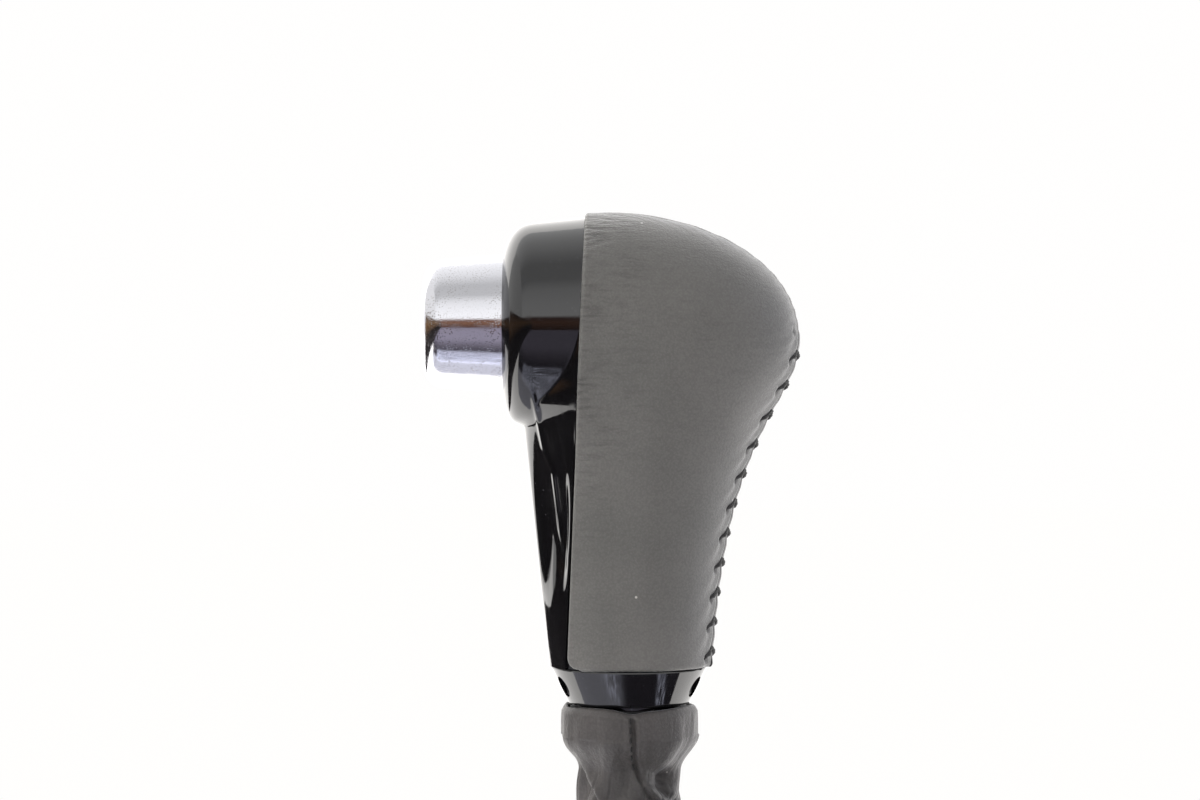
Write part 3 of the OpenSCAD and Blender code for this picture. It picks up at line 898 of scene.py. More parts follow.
    def fascia_reach(self, bearing: np.ndarray, z: float) -> np.ndarray:
        """Find the fascia's wall, with a fillet between drum and stem.

        Args:
            bearing: the directions from the lever axis.
            z: the height.

        Returns:
            The distance to the wall along each bearing.
        """
        stem = self.stem_reach(bearing, z)
        drum = self.drum_reach(bearing, z)
        mixing = np.maximum(0.0, self.blend - np.abs(stem - drum)) / self.blend
        fillet = float(smooth((self.drum_z - 11 - z) / 9))
        return np.maximum(stem, drum) + fillet * mixing ** 2 * self.blend / 4

    def fascia_section(self, z: float, samples: int) -> np.ndarray:
        """Give the fascia's section at a height, from the far split edge round the front.

        Args:
            z: the height.
            samples: the number of points.

        Returns:
            Points in millimetres.
        """
        low, high = QUARTER, math.pi
        split = float(self.split_x(z))
        for _ in range(BISECTIONS):
            mid = (low + high) / 2
            reach = float(self.fascia_reach(np.array([mid]), z)[0])
            if reach * math.cos(mid) > split:
                low = mid
            else:
                high = mid
        edge = (low + high) / 2
        bearing = np.linspace(edge, 2 * math.pi - edge, samples)
        reach = self.fascia_reach(bearing, z)
        return np.stack([reach * np.cos(bearing), reach * np.sin(bearing), np.full(samples, z)], axis=1)


@dataclass
class Grip:
    """The leather grip: the wrap with its rolled edges and puckered seam, and the seam's thread."""

    form: Form
    roll: float = 0.9
    corner: float = 2.6
    seam_top_z: float = 73.0
    stitch_low_z: float = 9.5
    pitch: float = 6.0
    seam_y: float = -4.0
    hole_y: float = 3.6
    rise: float = 2.4
    thread_r: float = 0.5
    row_step: float = 0.45
    full_length: float = 24.0
    samples: int = 500
    play: float = 0.25
    groove_depth: float = 0.75
    lip_height: float = 0.5
    lip_y: float = 1.6
    hole_depth: float = 0.75
    drag_depth: float = 0.11
    ripple_depth: float = 0.05
    crown_depth: float = 0.09
    pleat_depth: float = 0.04
    surface: np.ndarray = field(default_factory=lambda: np.zeros(0))

    def heights(self) -> np.ndarray:
        """Place the rows: close at the foot's rolled edge, then even along the profile.

        Returns:
            The rows' heights.
        """
        f = self.form
        foot = f.base_z + np.array([0.0, 0.08, 0.2, 0.36, 0.56, 0.8])
        body = np.arange(f.base_z + 1.1, f.drum_z, self.row_step)
        angle = np.radians(np.linspace(0, 90, 64))
        return np.concatenate([foot, body, f.drum_z + f.head_half_w * np.sin(angle)])

    def places(self, length: float, seam: float) -> np.ndarray:
        """Place the columns along a section: close at both edges and at the seam.

        Args:
            length: the section's length.
            seam: the seam's distance along it.

        Returns:
            The columns' distances along the section.
        """
        share = min(1.0, length / self.full_length)
        left = np.array([0.0, 0.06, 0.16, 0.3, 0.48, 0.7, 0.95, 1.3]) * share
        near = np.concatenate([np.arange(-5.4, -0.9, 0.3), np.arange(-0.9, 0.91, 0.15),
                               np.arange(1.2, 5.5, 0.3)])
        middle = seam + near * share
        count = 50
        first = np.linspace(left[-1], middle[0], count)[1:-1]
        second = np.linspace(middle[-1], length - left[-1], count)[1:-1]
        return np.concatenate([left, first, middle, second, (length - left)[::-1]])

    def wrap_surface(self) -> Tuple[np.ndarray, np.ndarray]:
        """Work out the plain wrap.

        Returns:
            The points in millimetres, and each point's distance from the seam along its section.
        """
        f = self.form
        rows, seams = [], []
        for z in self.heights():
            short = max(0.0, self.corner - (z - f.base_z))
            cut = self.corner - math.sqrt(max(0.0, self.corner ** 2 - short ** 2))
            section = f.grip_section(float(z), self.samples, float(f.split_x(z)) + cut)
            length = length_of(section)
            seam = length / 2 + self.seam_y * min(1.0, length / self.full_length)
            places = self.places(length, seam)
            rows.append(resample(section, places))
            seams.append(places - seam)
        return np.array(rows), np.array(seams)

    def relief(self, surface: np.ndarray, seam: np.ndarray) -> np.ndarray:
        """Height of the leather over the plain wrap, in millimetres.

        Args:
            surface: the wrap's points.
            seam: each point's distance from the seam.

        Returns:
            The offset along the normal for each point.
        """
        z = surface[..., 2]
        edge = np.minimum(seam - seam[:, :1], seam[:, -1:] - seam)
        rolled = np.zeros_like(z)
        for gap in (edge, z - self.form.base_z):
            short = np.clip(self.roll - gap, 0, self.roll)
            rolled += self.roll - np.sqrt(self.roll ** 2 - short ** 2)
        side = np.abs(seam)
        sewn = 1 - smooth((z - self.seam_top_z) / 5)
        phase = 2 * math.pi * (z - self.stitch_low_z) / self.pitch
        groove = self.groove_depth * bell(seam / 0.45) * (0.3 + 0.7 * sewn)
        climb = 2 * math.pi * (1 - side / self.hole_y) * self.rise / self.pitch
        bulge = 0.5 - 0.5 * np.cos(phase - climb)
        lips = self.lip_height * bell((side - self.lip_y) / 1.3) * (0.75 * bulge - 0.1)
        above = np.mod(z - self.stitch_low_z + self.pitch / 2, self.pitch) - self.pitch / 2
        pulls = self.hole_depth * bell((side - self.hole_y) / 0.65) * bell(above / 0.7)
        lean = phase + 0.9 * (side - self.hole_y)
        drag = self.drag_depth * bell((side - 4.0) / 3.0) * np.cos(lean) * (side > 1.5)
        wisps = np.sin(z * 3.1 + 1.6 * side + 1.3 * np.sin(z * 0.7)) * np.sin(z * 1.3 + 0.8 * side)
        ripples = self.ripple_depth * bell((side - 5.5) / 4.0) * wisps * smooth((z - 25) / 30)
        crown = self.crown_depth * np.exp(-side / 4.0) * np.sin(z * 2.6 + 0.9 * side) * smooth((z - 70) / 6)
        top = smooth((z - 62) / 18) * np.exp(-edge / 6.0) * smooth(edge / 1.2)
        pleats = self.pleat_depth * top * np.sin(z * 4.6 + 1.7 * np.sin(edge * 0.8 + z * 0.35))
        return -rolled - groove + sewn * (lips - pulls + drag) + ripples + crown + pleats

    def build_wrap(self, leather: Material) -> Piece:
        """Build the leather wrap with its thickness.

        Args:
            leather: the grip's leather.

        Returns:
            The wrap.
        """
        plain, seam = self.wrap_surface()
        self.surface = plain + surface_normals(plain) * self.relief(plain, seam)[..., None]
        piece = finish_mesh("grip_wrap", draped_grid(self.surface), leather, Body.ROOT)
        thicken(piece, self.form.leather_t - self.play)
        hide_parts("leather_wrap")
        return piece

    def on_leather(self, y: float, z: float, lift: float) -> Vector:
        """Give the point over the leather near the seam, in metres."""
        point = nearest(self.surface, (1, 2), (y, z), self.surface[..., 0] > 8)
        return Vector((point[0] + lift, y, z)) * MM

    def build_thread(self, thread: Material) -> Piece:
        """Build the baseball stitches that lace the seam.

        Args:
            thread: the thread's finish.

        Returns:
            The stitches.
        """
        bm = bmesh.new()
        count = int((self.seam_top_z - self.stitch_low_z) // self.pitch) + 1
        for k in range(count):
            z = self.stitch_low_z + k * self.pitch
            for side in (-1, 1):
                path = []
                for t in np.linspace(0, 1, 12):
                    y = self.seam_y + side * self.hole_y * (1 - t)
                    bow = 0.16 * math.sin(math.pi * min(1.0, t * 1.1))
                    lift = bow - 0.5 * smooth(np.array((t - 0.8) / 0.2))
                    path.append(self.on_leather(float(y), float(z + self.rise * t ** 0.8), float(lift)))
                tube(bm, path, self.thread_r, shrink=0.45)
        knot = self.on_leather(self.seam_y, self.stitch_low_z - 0.9, 0.35)
        for turn in (0.0, 1.1, 2.2):
            ring = [knot + Vector((0.25 * math.cos(a + turn), 0.75 * math.cos(a),
                                   0.6 * math.sin(a + turn))) * MM for a in np.linspace(0, 5.2, 12)]
            tube(bm, ring, self.thread_r * 0.8)
        bmesh.ops.recalc_face_normals(bm, faces=bm.faces)
        piece = finish_mesh("grip_stitches", bm, thread, Body.ROOT)
        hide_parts("wrap_thread")
        return piece


@dataclass
class Fascia:
    """The gloss black front shell: a drum round the button that flows into a tapering stem."""

    form: Form
    wall: float = 2.0
    hole_r: float = 14.4
    line_z: Tuple[float, ...] = (30.0, 35.5, 47.0, 52.0, 58.0, 63.3, 67.0)
    line_x: Tuple[float, ...] = (-12.6, -13.7, -15.1, -17.1, -18.3, -19.4, -20.0)
    line_h: float = 0.36
    line_w: float = 0.5
    cutter_x: float = -28.0
    cutter_depth: float = 12.0
    samples: int = 700
    columns: int = 172

    def heights(self) -> np.ndarray:
        """Place the rows: even up the stem, then by angle round the drum.

        Returns:
            The rows' heights.
        """
        f = self.form
        radius = float(f.drum_radius(np.array(f.split_top_x)))
        stem = np.arange(f.base_z, f.drum_z - radius - 3, 0.6)
        under = np.arange(stem[-1] + 0.5, f.drum_z, 0.42)
        angle = np.radians(np.linspace(0, 90, 66))
        return np.concatenate([stem, under, f.drum_z + radius * np.sin(angle)])

    def build(self, gloss: Material) -> Piece:
        """Build the shell, with its thickness and the button's hole.

        Args:
            gloss: the gloss plastic.

        Returns:
            The shell.
        """
        rows = []
        for z in self.heights():
            section = self.form.fascia_section(float(z), self.samples)
            length = length_of(section)
            edge = np.array([0.0, 0.08, 0.2, 0.4]) * min(1.0, length / 6)
            inner = np.linspace(edge[-1], length - edge[-1], self.columns)[1:-1]
            rows.append(resample(section, np.concatenate([edge, inner, (length - edge)[::-1]])))
        surface = np.array(rows)
        surface = surface + surface_normals(surface) * self.style_line(surface)[..., None]
        piece = finish_mesh("fascia_shell", draped_grid(surface), gloss, Body.ROOT)
        thicken(piece, self.wall)
        tool = bmesh.new()
        place = Matrix.Translation((self.cutter_x * MM, 0, self.form.drum_z * MM))
        turn = Euler((0, QUARTER, 0)).to_matrix().to_4x4()
        add_rod(tool, self.hole_r, self.cutter_depth, 160, place @ turn)
        cut_away(piece, tool, 35)
        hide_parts("fascia")
        return piece

    def style_line(self, surface: np.ndarray) -> np.ndarray:
        """Raise the soft ridge that runs down each side of the stem into the split.

        Args:
            surface: the shell's points.

        Returns:
            The ridge's height at each point.
        """
        x, z = surface[..., 0], surface[..., 2]
        fade = smooth((z - 28) / 8) * smooth((64.5 - z) / 3)
        return self.line_h * fade * bell((x - np.interp(z, self.line_z, self.line_x)) / self.line_w)


@dataclass
class LockButton:
    """The chrome push button, a hollow cup with a slight draft."""

    form: Form
    tip_r: float = 13.15
    root_r: float = 14.0
    stand_out: float = 15.7
    edge_r: float = 4.5
    dome: float = 0.6
    inside: float = 7.0
    wall: float = 2.0
    flange: float = 1.5

    def build(self, chrome: Material) -> Piece:
        """Build the button cap.

        Args:
            chrome: the plating.

        Returns:
            The cap.
        """
        tip = self.form.drum_face_x - self.stand_out
        rear = self.form.drum_face_x + self.inside
        shoulder = tip + self.dome + self.edge_r
        flat_r = self.tip_r - self.edge_r
        face = [(flat_r * i / 10, tip + self.dome * (i / 10) ** 2) for i in range(11)]
        turns = [math.radians(90 * i / 14 - 90) for i in range(1, 15)]
        edge = [(flat_r + self.edge_r * math.cos(a), shoulder + self.edge_r * math.sin(a)) for a in turns]
        skirt = [(self.tip_r + (self.root_r - self.tip_r) * i / 8,
                  shoulder + (self.form.drum_face_x - shoulder) * i / 8) for i in range(1, 9)]
        hidden = [
            (self.root_r, rear - self.flange), (self.root_r + self.flange, rear - self.flange),
            (self.root_r + self.flange, rear), (self.root_r - self.wall, rear),
            (self.tip_r - self.wall, shoulder + self.wall), (flat_r, tip + self.wall + self.dome),
            (0.0, tip + self.wall + self.dome),
        ]
        bm = spun(face + edge + skirt + hidden)
        bmesh.ops.rotate(bm, verts=bm.verts, cent=(0, 0, 0), matrix=Matrix.Rotation(QUARTER, 3, "Y"))
        bmesh.ops.translate(bm, verts=bm.verts, vec=(0, 0, self.form.drum_z * MM))
        sharpen(bm, 40)
        piece = finish_mesh("chrome_button", bm, chrome, Body.BUTTON)
        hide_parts("button_cap")
        return piece


@dataclass
class ReturnSpring:
    """The compression spring behind the slider, with closed ends, built at one length; on the real knob it
    shortens as the button goes in.
    """

    form: Form
    front_x: float = 5.3
    seat_x: float = 19.0
    coil_r: float = 4.0
    wire_r: float = 0.55
    turns: float = 7.0
    closed: float = 0.9
    closed_lay: float = 2.2
    gap: float = 0.1
    travel: float = 6.0
    steps: int = 30

    def build(self, steel: Material) -> Piece:
        """Build the spring.

        Args:
            steel: the spring steel.

        Returns:
            The spring.
        """
        low = self.front_x + self.wire_r
        high = self.seat_x - self.wire_r - self.gap
        lay = self.closed_lay * self.wire_r
        path = []
        for i in range(int(self.turns * self.steps) + 1):
            turn = i / self.steps
            share = (turn - self.closed) / (self.turns - 2 * self.closed)
            ends = min(turn, self.closed) + max(0.0, turn - self.turns + self.closed)
            x = low + lay * ends / self.closed * 0.5 + (high - low - lay) * min(1.0, max(0.0, share))
            angle = 2 * math.pi * turn
            path.append(Vector((x, self.coil_r * math.cos(angle),
                                self.form.drum_z + self.coil_r * math.sin(angle))) * MM)
        bm = bmesh.new()
        tube(bm, path, self.wire_r, sides=12)
        bmesh.ops.recalc_face_normals(bm, faces=bm.faces)
        piece = finish_mesh("return_spring", bm, steel, Body.ROOT)
        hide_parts("button_spring")
        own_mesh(piece)
        return piece


@dataclass
class Collar:
    """The gloss black cone under the grip, with a screw pocket on each side."""

    form: Form
    top_r: float = 15.85
    foot_r: float = 12.5
    bore_r: float = 8.7
    spigot_r: float = 10.6
    spigot_in_r: float = 7.9
    spigot: float = 8.0
    groove_depth: float = 0.6
    groove_z: Tuple[float, float] = (3.4, 2.0)
    edge: float = 0.35
    pocket_z: float = 3.6
    pocket_r: float = 2.1
    pocket_reach: Tuple[float, float] = (11.5, 17.0)
    hole_r: float = 1.6
    hole_reach: Tuple[float, float] = (8.0, 12.5)
    pocket_turn: float = 20.0

    def build(self, gloss: Material) -> Piece:
        """Build the collar with its pockets and their through holes.

        Args:
            gloss: the gloss plastic.

        Returns:
            The collar.
        """
        top = self.form.base_z - 0.1
        e = self.edge
        inner = self.spigot_r - self.groove_depth
        high, low = [z - self.spigot for z in self.groove_z]
        bm = spun([
            (self.bore_r, top), (self.top_r - e, top), (self.top_r - 0.1, top - 0.1), (self.top_r, top - e),
            (self.foot_r + 0.08, e), (self.foot_r - 0.05, 0.1), (self.foot_r - e, 0.0),
            (self.spigot_r, 0.0), (self.spigot_r, high), (inner, high), (inner, low),
            (self.spigot_r, low), (self.spigot_r, -self.spigot),
            (self.spigot_in_r, -self.spigot), (self.spigot_in_r, -0.1), (self.bore_r, -0.1),
            (self.bore_r, top),
        ])
        piece = finish_mesh("collar_ring", bm, gloss, Body.ROOT)
        tool = bmesh.new()
        for side in (-1, 1):
            around = Matrix.Rotation(math.radians(-side * self.pocket_turn), 4, "Z")
            turn = Euler((0, side * QUARTER, 0)).to_matrix().to_4x4()
            for radius, (near, far) in ((self.pocket_r, self.pocket_reach), (self.hole_r, self.hole_reach)):
                out = Matrix.Translation((side * (near + far) / 2 * MM, 0, self.pocket_z * MM))
                add_rod(tool, radius, far - near, 40, around @ out @ turn)
        cut_away(piece, tool, 30)
        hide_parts("collar")
        return piece


@dataclass
class Boot:
    """The lever boot: leather bunched over its ring, twisted at the neck, opening to a hem."""

    thickness: float = 1.0
    bunch_r: float = 13.9
    neck_r: float = 10.3
    flare: float = 2.4
    hem_r: float = 36.0
    length: float = 74.0
    folds: int = 7
    twist: float = 75.0
    top_z: float = -0.1
    rim_z: float = -1.6
    bunch_end: float = -6.5
    neck_end: float = -13.5
    skirt_z: float = -34.0
    fine_end: float = -30.0
    columns: int = 268
    stitches: int = 6
    stitch_r: float = 0.2
    cut: Tuple[float, float] = (0.23, 0.085)
    cut_area: float = 0.0097
    seam_depth: float = 0.7
    lap_depth: float = 1.5
    roll_height: float = 0.45
    hollow_depth: float = 2.4
    strap_height: float = 1.15
    brow_height: float = 0.5
    wide_depth: float = 0.1
    fine_depth: float = 0.03
    crease_depth: float = 0.22
    surface: np.ndarray = field(default_factory=lambda: np.zeros(0))

    def radius(self, z: np.ndarray) -> np.ndarray:
        """Give the mean radius of the outer skin.

        Args:
            z: the heights.

        Returns:
            The radius at each height.
        """
        top = mix(self.bunch_r - 1.1, self.bunch_r, np.sqrt(np.clip((self.top_z - z) / 1.5, 0, 1)))
        waist = mix(self.bunch_r, self.neck_r,
                    smooth((self.bunch_end - z) / (self.bunch_end - self.neck_end)))
        wide_r = self.neck_r + self.flare
        neck = mix(self.neck_r, wide_r,
                   np.clip((self.neck_end - z) / (self.neck_end - self.skirt_z), 0, 1) ** 2)
        skirt = mix(wide_r, self.hem_r,
                    np.clip((self.skirt_z - z) / (self.skirt_z + self.length), 0, 1) ** 1.2)
        return np.select([z > self.rim_z, z > self.neck_end, z > self.skirt_z], [top, waist, neck], skirt)

    def seam_x(self, z: np.ndarray) -> np.ndarray:
        """Side offset of the seam at a height: down the middle, then off to the rear."""
        return 0.6 - 0.04 * z + 0.045 * np.clip(-z - 9.5, 0, 14) ** 1.9

    def relief(self, across: np.ndarray, facing: np.ndarray, z: np.ndarray) -> np.ndarray:
        """Height of the gathered leather over the plain boot, in millimetres.

        Args:
            across: side offset of each point, toward the rear.
            facing: 1 on the side that the camera sees, 0 on the far side.
            z: the heights.

        Returns:
            The radial offset of each point.
        """
        deep = -z
        live = smooth((deep - 0.4) / 2.0)
        seam = across - self.seam_x(z)
        sewn = facing * live * (1 - smooth((deep - 34) / 12))
        groove = -self.seam_depth * bell(seam / 0.42) + 0.3 * bell((np.abs(seam) - 1.1) / 0.8)
        edge = across - (-11.2 + 0.5 * (deep - 9.5))
        under = (1 - smooth((edge + 0.35) / 0.7)) * np.exp(-np.clip(-edge, 0, 30) / 9.0)
        out = 1 - smooth((deep - 30) / 14)
        lap = -self.lap_depth * under * smooth((deep - 8.5) / 5) * out
        roll = self.roll_height * bell((edge - 0.9) / 0.9) * smooth((deep - 9) / 4) * out
        hollow_line = across - 7.1 - 0.35 * (deep - 14.5)
        hollow = -self.hollow_depth * bell(hollow_line / 1.9) * bell((deep - 14.8) / 1.9)
        strap_line = across - (1.6 + 1.05 * (deep - 14.4))
        strap = self.strap_height * bell(strap_line / 1.35) * smooth((deep - 14.0) / 2.4)
        strap = strap * (1 - smooth((deep - 26) / 6))
        tuck = -bell(strap_line - 2.6) * smooth((deep - 14.5) / 2.5) * (1 - smooth((deep - 24) / 6))
        brow = self.brow_height * bell((across - 6.5) / 4.0) * bell((deep - 11.0) / 1.6)
        return sewn * groove + facing * (lap + roll + hollow + strap + tuck + brow)

    def wrinkles(self, turn: np.ndarray, z: np.ndarray) -> np.ndarray:
        """Give the small folds that run down the leather and wind with the neck.

        Args:
            turn: the angle of each point round the lever.
            z: the heights.

        Returns:
            The radial offset of each point.
        """
        deep = -z
        lean = turn + 0.5 * smooth((deep - 6) / 25)
        wide = self.wide_depth * np.sin(lean * 13 + 0.8 * np.sin(deep * 0.21 + turn * 3))
        fine = self.fine_depth * np.sin(lean * 31 + 1.3 * np.sin(deep * 0.33 + turn * 5) + 0.4)
        ridge = np.abs(np.sin(lean * 9 + 0.6 * np.sin(deep * 0.17)))
        creases = -self.crease_depth * np.clip(0.24 - ridge, 0, 1) / 0.24 * smooth((deep - 10) / 6)
        return (wide + fine) * smooth((deep - 0.5) / 3) + creases

    def build(self, leather: Material) -> Piece:
        """Build the boot.

        Args:
            leather: the boot's leather.

        Returns:
            The boot.
        """
        z = np.concatenate([np.linspace(self.top_z, self.rim_z, 9)[:-1],
                            np.linspace(self.rim_z, self.fine_end, 120)[:-1],
                            np.linspace(self.fine_end, -self.length, 52)])[::-1]
        angle = np.linspace(QUARTER, QUARTER + 2 * math.pi, self.columns)
        zz, aa = np.meshgrid(z, angle, indexing="ij")
        twist = math.radians(self.twist) * smooth((self.bunch_end - zz) / (self.bunch_end - self.skirt_z))
        low = smooth((self.skirt_z - zz) / (self.skirt_z + self.length))
        depth = np.where(zz > self.bunch_end, 0.12, mix(0.35, 1.8, low))
        r = self.radius(zz) + depth * np.cos(self.folds * (aa + twist))
        facing = smooth((-np.sin(aa) - 0.05) / 0.35)
        r = r + self.relief(r * np.cos(aa), facing, zz) + self.wrinkles(aa, zz)
        near_top = np.exp((zz - self.top_z) / 1.6)
        dip = 0.6 * bell((r * np.cos(aa) - 0.3) / 2.4) * facing + 0.22 * (1 + np.sin(aa * 4 + 0.6))
        self.surface = np.stack([r * np.cos(aa), r * np.sin(aa), zz - near_top * dip], axis=2)
        piece = finish_mesh("boot_leather", draped_grid(self.surface), leather, Body.ROOT)
        thicken(piece, self.thickness)
        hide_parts("boot")
        return piece

    def build_stitches(self, thread: Material) -> Piece:
        """Build the short stitches down the boot's seam.

        Args:
            thread: the thread's finish.

        Returns:
            The stitches.
        """
        bm = bmesh.new()
        seen = self.surface[..., 1] < 0
        for k in range(self.stitches):
            path = []
            for t in np.linspace(0, 1, 6):
                z = -1.8 - 1.9 * k - 1.2 * t
                x = float(self.seam_x(np.array(z))) - 0.55
                y = nearest(self.surface, (0, 2), (x, z), seen)[1] - 0.12 - 0.16 * math.sin(math.pi * t)
                path.append(Vector((x, y, z)) * MM)
            tube(bm, path, self.stitch_r, sides=8)
        bmesh.ops.recalc_face_normals(bm, faces=bm.faces)
        piece = finish_mesh("boot_stitches", bm, thread, Body.ROOT)
        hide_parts("boot_thread")
        return piece


@dataclass
class Studio:
    """Pale floor, soft lamps, sheets for the reflections, and the camera at the photograph's angle."""

    photo_px: Tuple[int, int] = (1200, 800)
    scale_px: float = 4.9
    origin_px: Tuple[float, float] = (629.0, 702.0)
    lens: float = 85.0
    sensor: float = 36.0
    floor_z: float = CAD_BOUNDS[0][2]
    tent_r: float = 1.0
    tent_z: float = 0.077
    tent_x: float = 0.9
    tent_sheets: int = 24
    tent_glow: float = 1.35
    table_edges_y: Tuple[float, float] = (0.028, -0.004)
    table_glow: float = 2.2
    wall_top_z: float = 0.11
    floor_drop: float = 0.0005
    bright_lift: float = 0.002
    dark_lift: float = 0.0025
    wall_lift: float = 0.003
    soft_light: float = 0.36

    def camera(self) -> None:
        """Set the camera so that the frame shows what the photograph shows."""
        width = self.photo_px[0] / self.scale_px
        x = (self.photo_px[0] / 2 - self.origin_px[0]) / self.scale_px
        z = (self.origin_px[1] - self.photo_px[1] / 2) / self.scale_px
        away = width * self.lens / self.sensor
        data = bpy.data.cameras.new("camera")
        data.lens = self.lens
        data.sensor_width = self.sensor
        data.clip_start = 0.01
        camera = bpy.data.objects.new("camera", data)
        camera.location = (x * MM, -away * MM, z * MM)
        camera.rotation_euler = (QUARTER, 0, 0)
        bpy.context.scene.collection.objects.link(camera)
        bpy.context.scene.camera = camera

    @staticmethod
    def card(name: str, corners: Sequence[Point], material: Material, lit: bool = False) -> None:
        """Hang a flat sheet as a stage object.

        Args:
            name: its name.
            corners: its corners in metres.
            material: its finish.
            lit: whether more than reflections show it.
        """
        bm = bmesh.new()
        bm.faces.new([bm.verts.new(corner) for corner in corners])
        sheet = link_mesh(name, bm, material)
        sheet.visible_camera = lit
        sheet.visible_diffuse = lit
        sheet.visible_shadow = lit

    def floor(self) -> None:
        """Lay a pale floor at the object's lowest point; away from the object it shows as plain white."""
        material = bpy.data.materials.new("pale_floor")
        graph = Graph(material)
        pale = graph.add("BsdfPrincipled", Base_Color=linear("f4f3f1"), Roughness=0.7)
        rays = graph.add("LightPath").outputs
        place = graph.add("TexCoord").outputs["Object"]
        away = graph.add("VectorMath", {"operation": "LENGTH"}, Vector=place).outputs["Value"]
        seen = graph.math("MULTIPLY", rays["Is Camera Ray"],
                          graph.span(away, 0.12, 0.34, 0.55, 1.0, ease=True))
        mirrored = graph.math("MAXIMUM", rays["Is Glossy Ray"], rays["Is Transmission Ray"])
        white = graph.add("Emission", Color=(1.0, 0.995, 0.985, 1.0), Strength=1.0)
        blend = graph.add("MixShader", i0=graph.math("MAXIMUM", seen, mirrored), i1=pale, i2=white)
        graph.add("OutputMaterial", Surface=blend)
        z = self.floor_z - self.floor_drop
        self.card("floor", [(-3, -3, z), (3, -3, z), (3, 3, z), (-3, 3, z)], material, lit=True)

    def tent(self) -> None:
        """Hang what the gloss surfaces show in front: a bright room above and a dark one below.

        The sheets are part of a cylinder about the button's axis, and their glow goes by elevation.
        """
        material = bpy.data.materials.new("tent_glow")
        graph = Graph(material)
        place = graph.axes()
        angle = graph.math("ARCTAN2", graph.math("SUBTRACT", place["Z"], self.tent_z),
                           graph.math("MULTIPLY", place["Y"], -1.0))
        glow = graph.ramp(
            graph.span(angle, math.radians(-10), math.radians(130)),
            (0.0, linear("3a2a26")), (0.07, linear("7d5a48")), (0.105, linear("6a5048")),
            (0.125, grey(0.95)), (0.21, grey(0.9)), (0.33, grey(0.78)), (0.42, grey(0.5)),
            (0.56, grey(0.48)), (0.72, grey(0.75)), (1.0, grey(1.0)))
        graph.glow(glow, self.tent_glow)
        turns = np.radians(np.linspace(-9, 125, self.tent_sheets + 1))
        rows = [(-self.tent_r * math.cos(t), self.tent_z + self.tent_r * math.sin(t)) for t in turns]
        x = self.tent_x
        for k, (low, high) in enumerate(zip(rows, rows[1:])):
            self.card(f"tent_{k:02d}", [(-x, *low), (x, *low), (x, *high), (-x, *high)], material)

    def dark_table(self) -> None:
        """Lay the dark front half of the room just over the floor, with a faint glow at its near edge."""
        material = bpy.data.materials.new("card_black")
        graph = Graph(material)
        place = graph.axes()
        near = graph.span(place["Y"], -0.3, -0.1, ease=True)
        under = graph.span(place["Y"], -0.075, -0.05, ease=True)
        ahead = graph.span(place["X"], -0.03, 0.0, 1.0, 0.0, ease=True)
        blotches = graph.noise(4.0, 5.0, Roughness=0.7)
        patchy = graph.ramp(blotches, (0.45, grey(0.0)), (0.66, grey(1.0)))
        bands = []
        for axis, middle, half in (("X", -0.078, 0.045), ("Y", -0.088, 0.03), ("X", 0.066, 0.007)):
            away = graph.math("ABSOLUTE", graph.math("SUBTRACT", place[axis], middle))
            bands.append(graph.span(away, half, half * 1.5, 1.0, 0.0))
        where = graph.math("MAXIMUM", graph.math("MULTIPLY", bands[0], bands[1]), bands[2])
        base = graph.mix(near, linear("9d97a8"), linear("4a464e"))
        pale = graph.mix(graph.math("MULTIPLY", under, ahead), base, linear("e6e6f2"))
        graph.glow(graph.mix(graph.math("MULTIPLY", where, patchy), pale, (2.6, 2.7, 3.3, 1.0)), 1.0)
        z = self.floor_z + self.dark_lift
        left, right = self.table_edges_y
        self.card("dark_table", [(-0.9, -1.0, z), (0.9, -1.0, z), (0.15, right, z), (-0.15, left, z)],
                  material)

    def walls(self) -> None:
        """Hang the room's dark sides, which the stem and the button's edge show."""
        material = bpy.data.materials.new("wall_glow")
        graph = Graph(material)
        rise = graph.span(graph.axes()["Z"], -0.07, self.wall_top_z)
        graph.glow(graph.ramp(rise, (0.0, linear("3a3638")), (0.55, linear("2a2524")),
                              (0.8, linear("8a6a4c")), (1.0, linear("54443c"))), 1.0)
        low, top = self.floor_z + self.wall_lift, self.wall_top_z
        left = [(-1.0, low), (0.6, low), (0.5, -0.045), (0.21, -0.016), (0.11, 0.02), (0.05, top),
                (-1.0, top)]
        right = [(-1.0, low), (0.02, low), (0.02, top), (-1.0, top)]
        for name, x, outline in (("wall_left", -0.28, left), ("wall_right", 0.6, right)):
            self.card(name, [(x, y, z) for y, z in outline], material)

    def bright_table(self) -> None:
        """Lay the brightly lit table behind and beside the object, for its rims to show."""
        material = bpy.data.materials.new("table_glow")
        Graph(material).glow((1.0, 0.98, 0.96, 1.0), self.table_glow)
        x, front, back, z = 1.2, -0.3, 0.7, self.floor_z + self.bright_lift
        near, far, high = ([(-x, front, z), (x, front, z)], [(x, back, z), (-x, back, z)],
                           [(x, back, 1.1), (-x, back, 1.1)])
        self.card("table_flat", near + far, material)
        self.card("table_back", far[::-1] + high, material)

    def world(self) -> None:
        """Light the scene softly from all round, white where the camera and mirrors look."""
        world = bpy.data.worlds.new("studio")
        bpy.context.scene.world = world
        graph = Graph(world)
        rays = graph.add("LightPath").outputs
        seen = graph.math("MAXIMUM", rays["Is Camera Ray"], rays["Is Glossy Ray"])
        mirrored = graph.math("MAXIMUM", seen, rays["Is Transmission Ray"])
        soft = graph.add("Background", Color=(1.0, 0.99, 0.98, 1.0), Strength=self.soft_light)
        white = graph.add("Background", Color=(1.0, 0.995, 0.99, 1.0), Strength=1.0)
        graph.add("OutputWorld", Surface=graph.add("MixShader", i0=mirrored, i1=soft, i2=white))

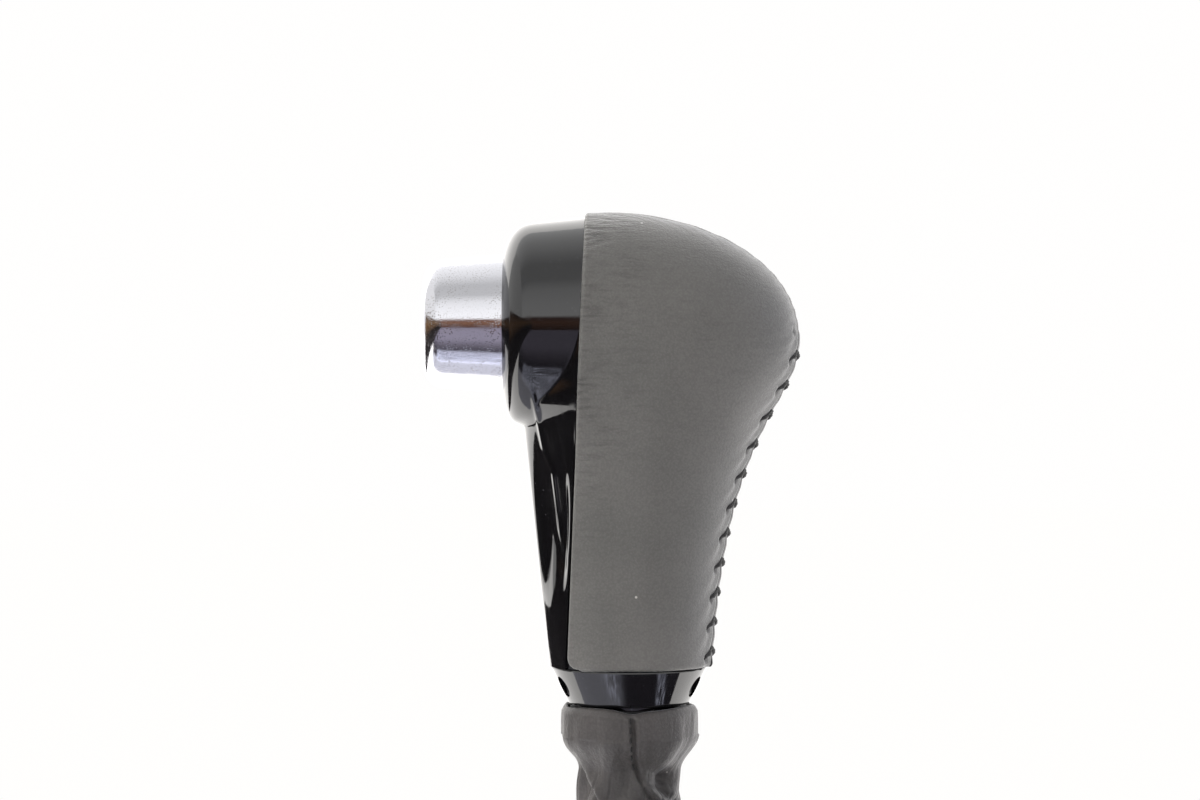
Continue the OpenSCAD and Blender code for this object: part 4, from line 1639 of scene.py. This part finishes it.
    @staticmethod
    def lamp(name: str, place: Point, target: Point, size: Tuple[float, float], power: float,
             colour: str = "ffffff") -> None:
        """Hang a rectangular soft lamp, which neither the camera nor reflections show.

        Args:
            name: the lamp's name.
            place: its middle, in metres.
            target: the point that it faces.
            size: its width and height in metres.
            power: its power in watts.
            colour: its colour.
        """
        data = bpy.data.lights.new(name, "AREA")
        data.shape = "RECTANGLE"
        data.size, data.size_y = size
        data.energy = power
        data.color = linear(colour)[:3]
        lamp = bpy.data.objects.new(name, data)
        lamp.location = place
        lamp.rotation_euler = (Vector(target) - Vector(place)).to_track_quat("-Z", "Y").to_euler()
        lamp.visible_camera = False
        lamp.visible_glossy = False
        bpy.context.scene.collection.objects.link(lamp)

    def light(self) -> None:
        """Hang the lamps: a window behind the camera, a ceiling, and the bright table to both sides."""
        middle = (0.0, 0.0, 0.05)
        self.lamp("window", (-0.85, -0.5, 0.48), middle, (0.8, 0.6), 8.0)
        self.lamp("ceiling", (0.0, 0.55, 0.85), (0.0, 0.0, 0.0), (1.6, 1.0), 10.0)
        self.lamp("table_left", (-0.8, 0.5, 0.15), middle, (0.8, 0.7), 2.0, "fff1dd")
        self.lamp("table_right", (0.92, 0.22, 0.15), middle, (0.7, 0.7), 6.0, "dde6ff")

    def build(self) -> None:
        """Set up the whole studio."""
        for part in (self.camera, self.floor, self.tent, self.dark_table, self.bright_table, self.walls,
                     self.world, self.light):
            part()
        bpy.context.scene.view_settings.view_transform = "Standard"


@dataclass
class InnerParts:
    """The carried-over pieces of the mechanism and fixings, which get their finishes."""

    finishes: Dict[str, Sequence[str]]
    materials: Dict[str, Material]

    def dress(self) -> None:
        """Put each finish on its nodes."""
        for finish, nodes in self.finishes.items():
            for node in nodes:
                piece = bpy.data.objects[node]
                piece.data.materials.clear()
                piece.data.materials.append(self.materials[finish])
                log.info("%s: %s", node, finish)


def materials() -> Dict[str, Material]:
    """Build every finish once.

    Returns:
        The materials by name.
    """
    finishes = [
        Leather("grip_leather", near_split=True),
        Leather("boot_leather", light="504c4b", dark="403e3d", grain_mm=0.5,
                crease_stretch=(1.0, 1.0, 3.0), crease_depth_mm=0.3, roughness=0.5, sheen=0.18),
        GlossPlastic("gloss_abs"),
        Chrome("chrome_plate"),
        Moulded("moulded_core", "242528"),
        Moulded("acetal", "d8d4c8", 0.4),
        Moulded("rubber", "171717", 0.75),
        Moulded("nylon_band", "121212", 0.6),
        Steel("spring_steel", "8d9095"),
        Steel("zinc_steel", "9a9c9f", 0.35),
        Steel("black_steel", "29292b", 0.4),
        Thread("waxed_thread"),
    ]
    return {finish.name: finish.build() for finish in finishes}


def main() -> None:
    """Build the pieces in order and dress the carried-over nodes."""
    logging.basicConfig(level=logging.INFO, format="%(message)s")
    Studio().build()
    made = materials()
    form = Form()
    grip = Grip(form)
    boot = Boot()
    pieces = [
        grip.build_wrap(made["grip_leather"]),
        grip.build_thread(made["waxed_thread"]),
        Fascia(form).build(made["gloss_abs"]),
        LockButton(form).build(made["chrome_plate"]),
        ReturnSpring(form).build(made["spring_steel"]),
        Collar(form).build(made["gloss_abs"]),
        boot.build(made["boot_leather"]),
        boot.build_stitches(made["waxed_thread"]),
    ]
    for piece in pieces:
        log.info("%s: %d faces", piece.name, len(piece.data.polygons))
    InnerParts({
        "moulded_core": ["grip_core", "slider_housing", "boot_ring"],
        "acetal": ["button_slider", "plunger_bush"],
        "rubber": ["button_bumper"],
        "nylon_band": ["boot_clamp"],
        "spring_steel": ["push_plunger"],
        "zinc_steel": ["lever_sleeve", "housing_screw_left", "housing_screw_right"],
        "black_steel": ["lock_screw_front", "lock_screw_rear"],
    }, made).dress()


if __name__ == "__main__":
    main()
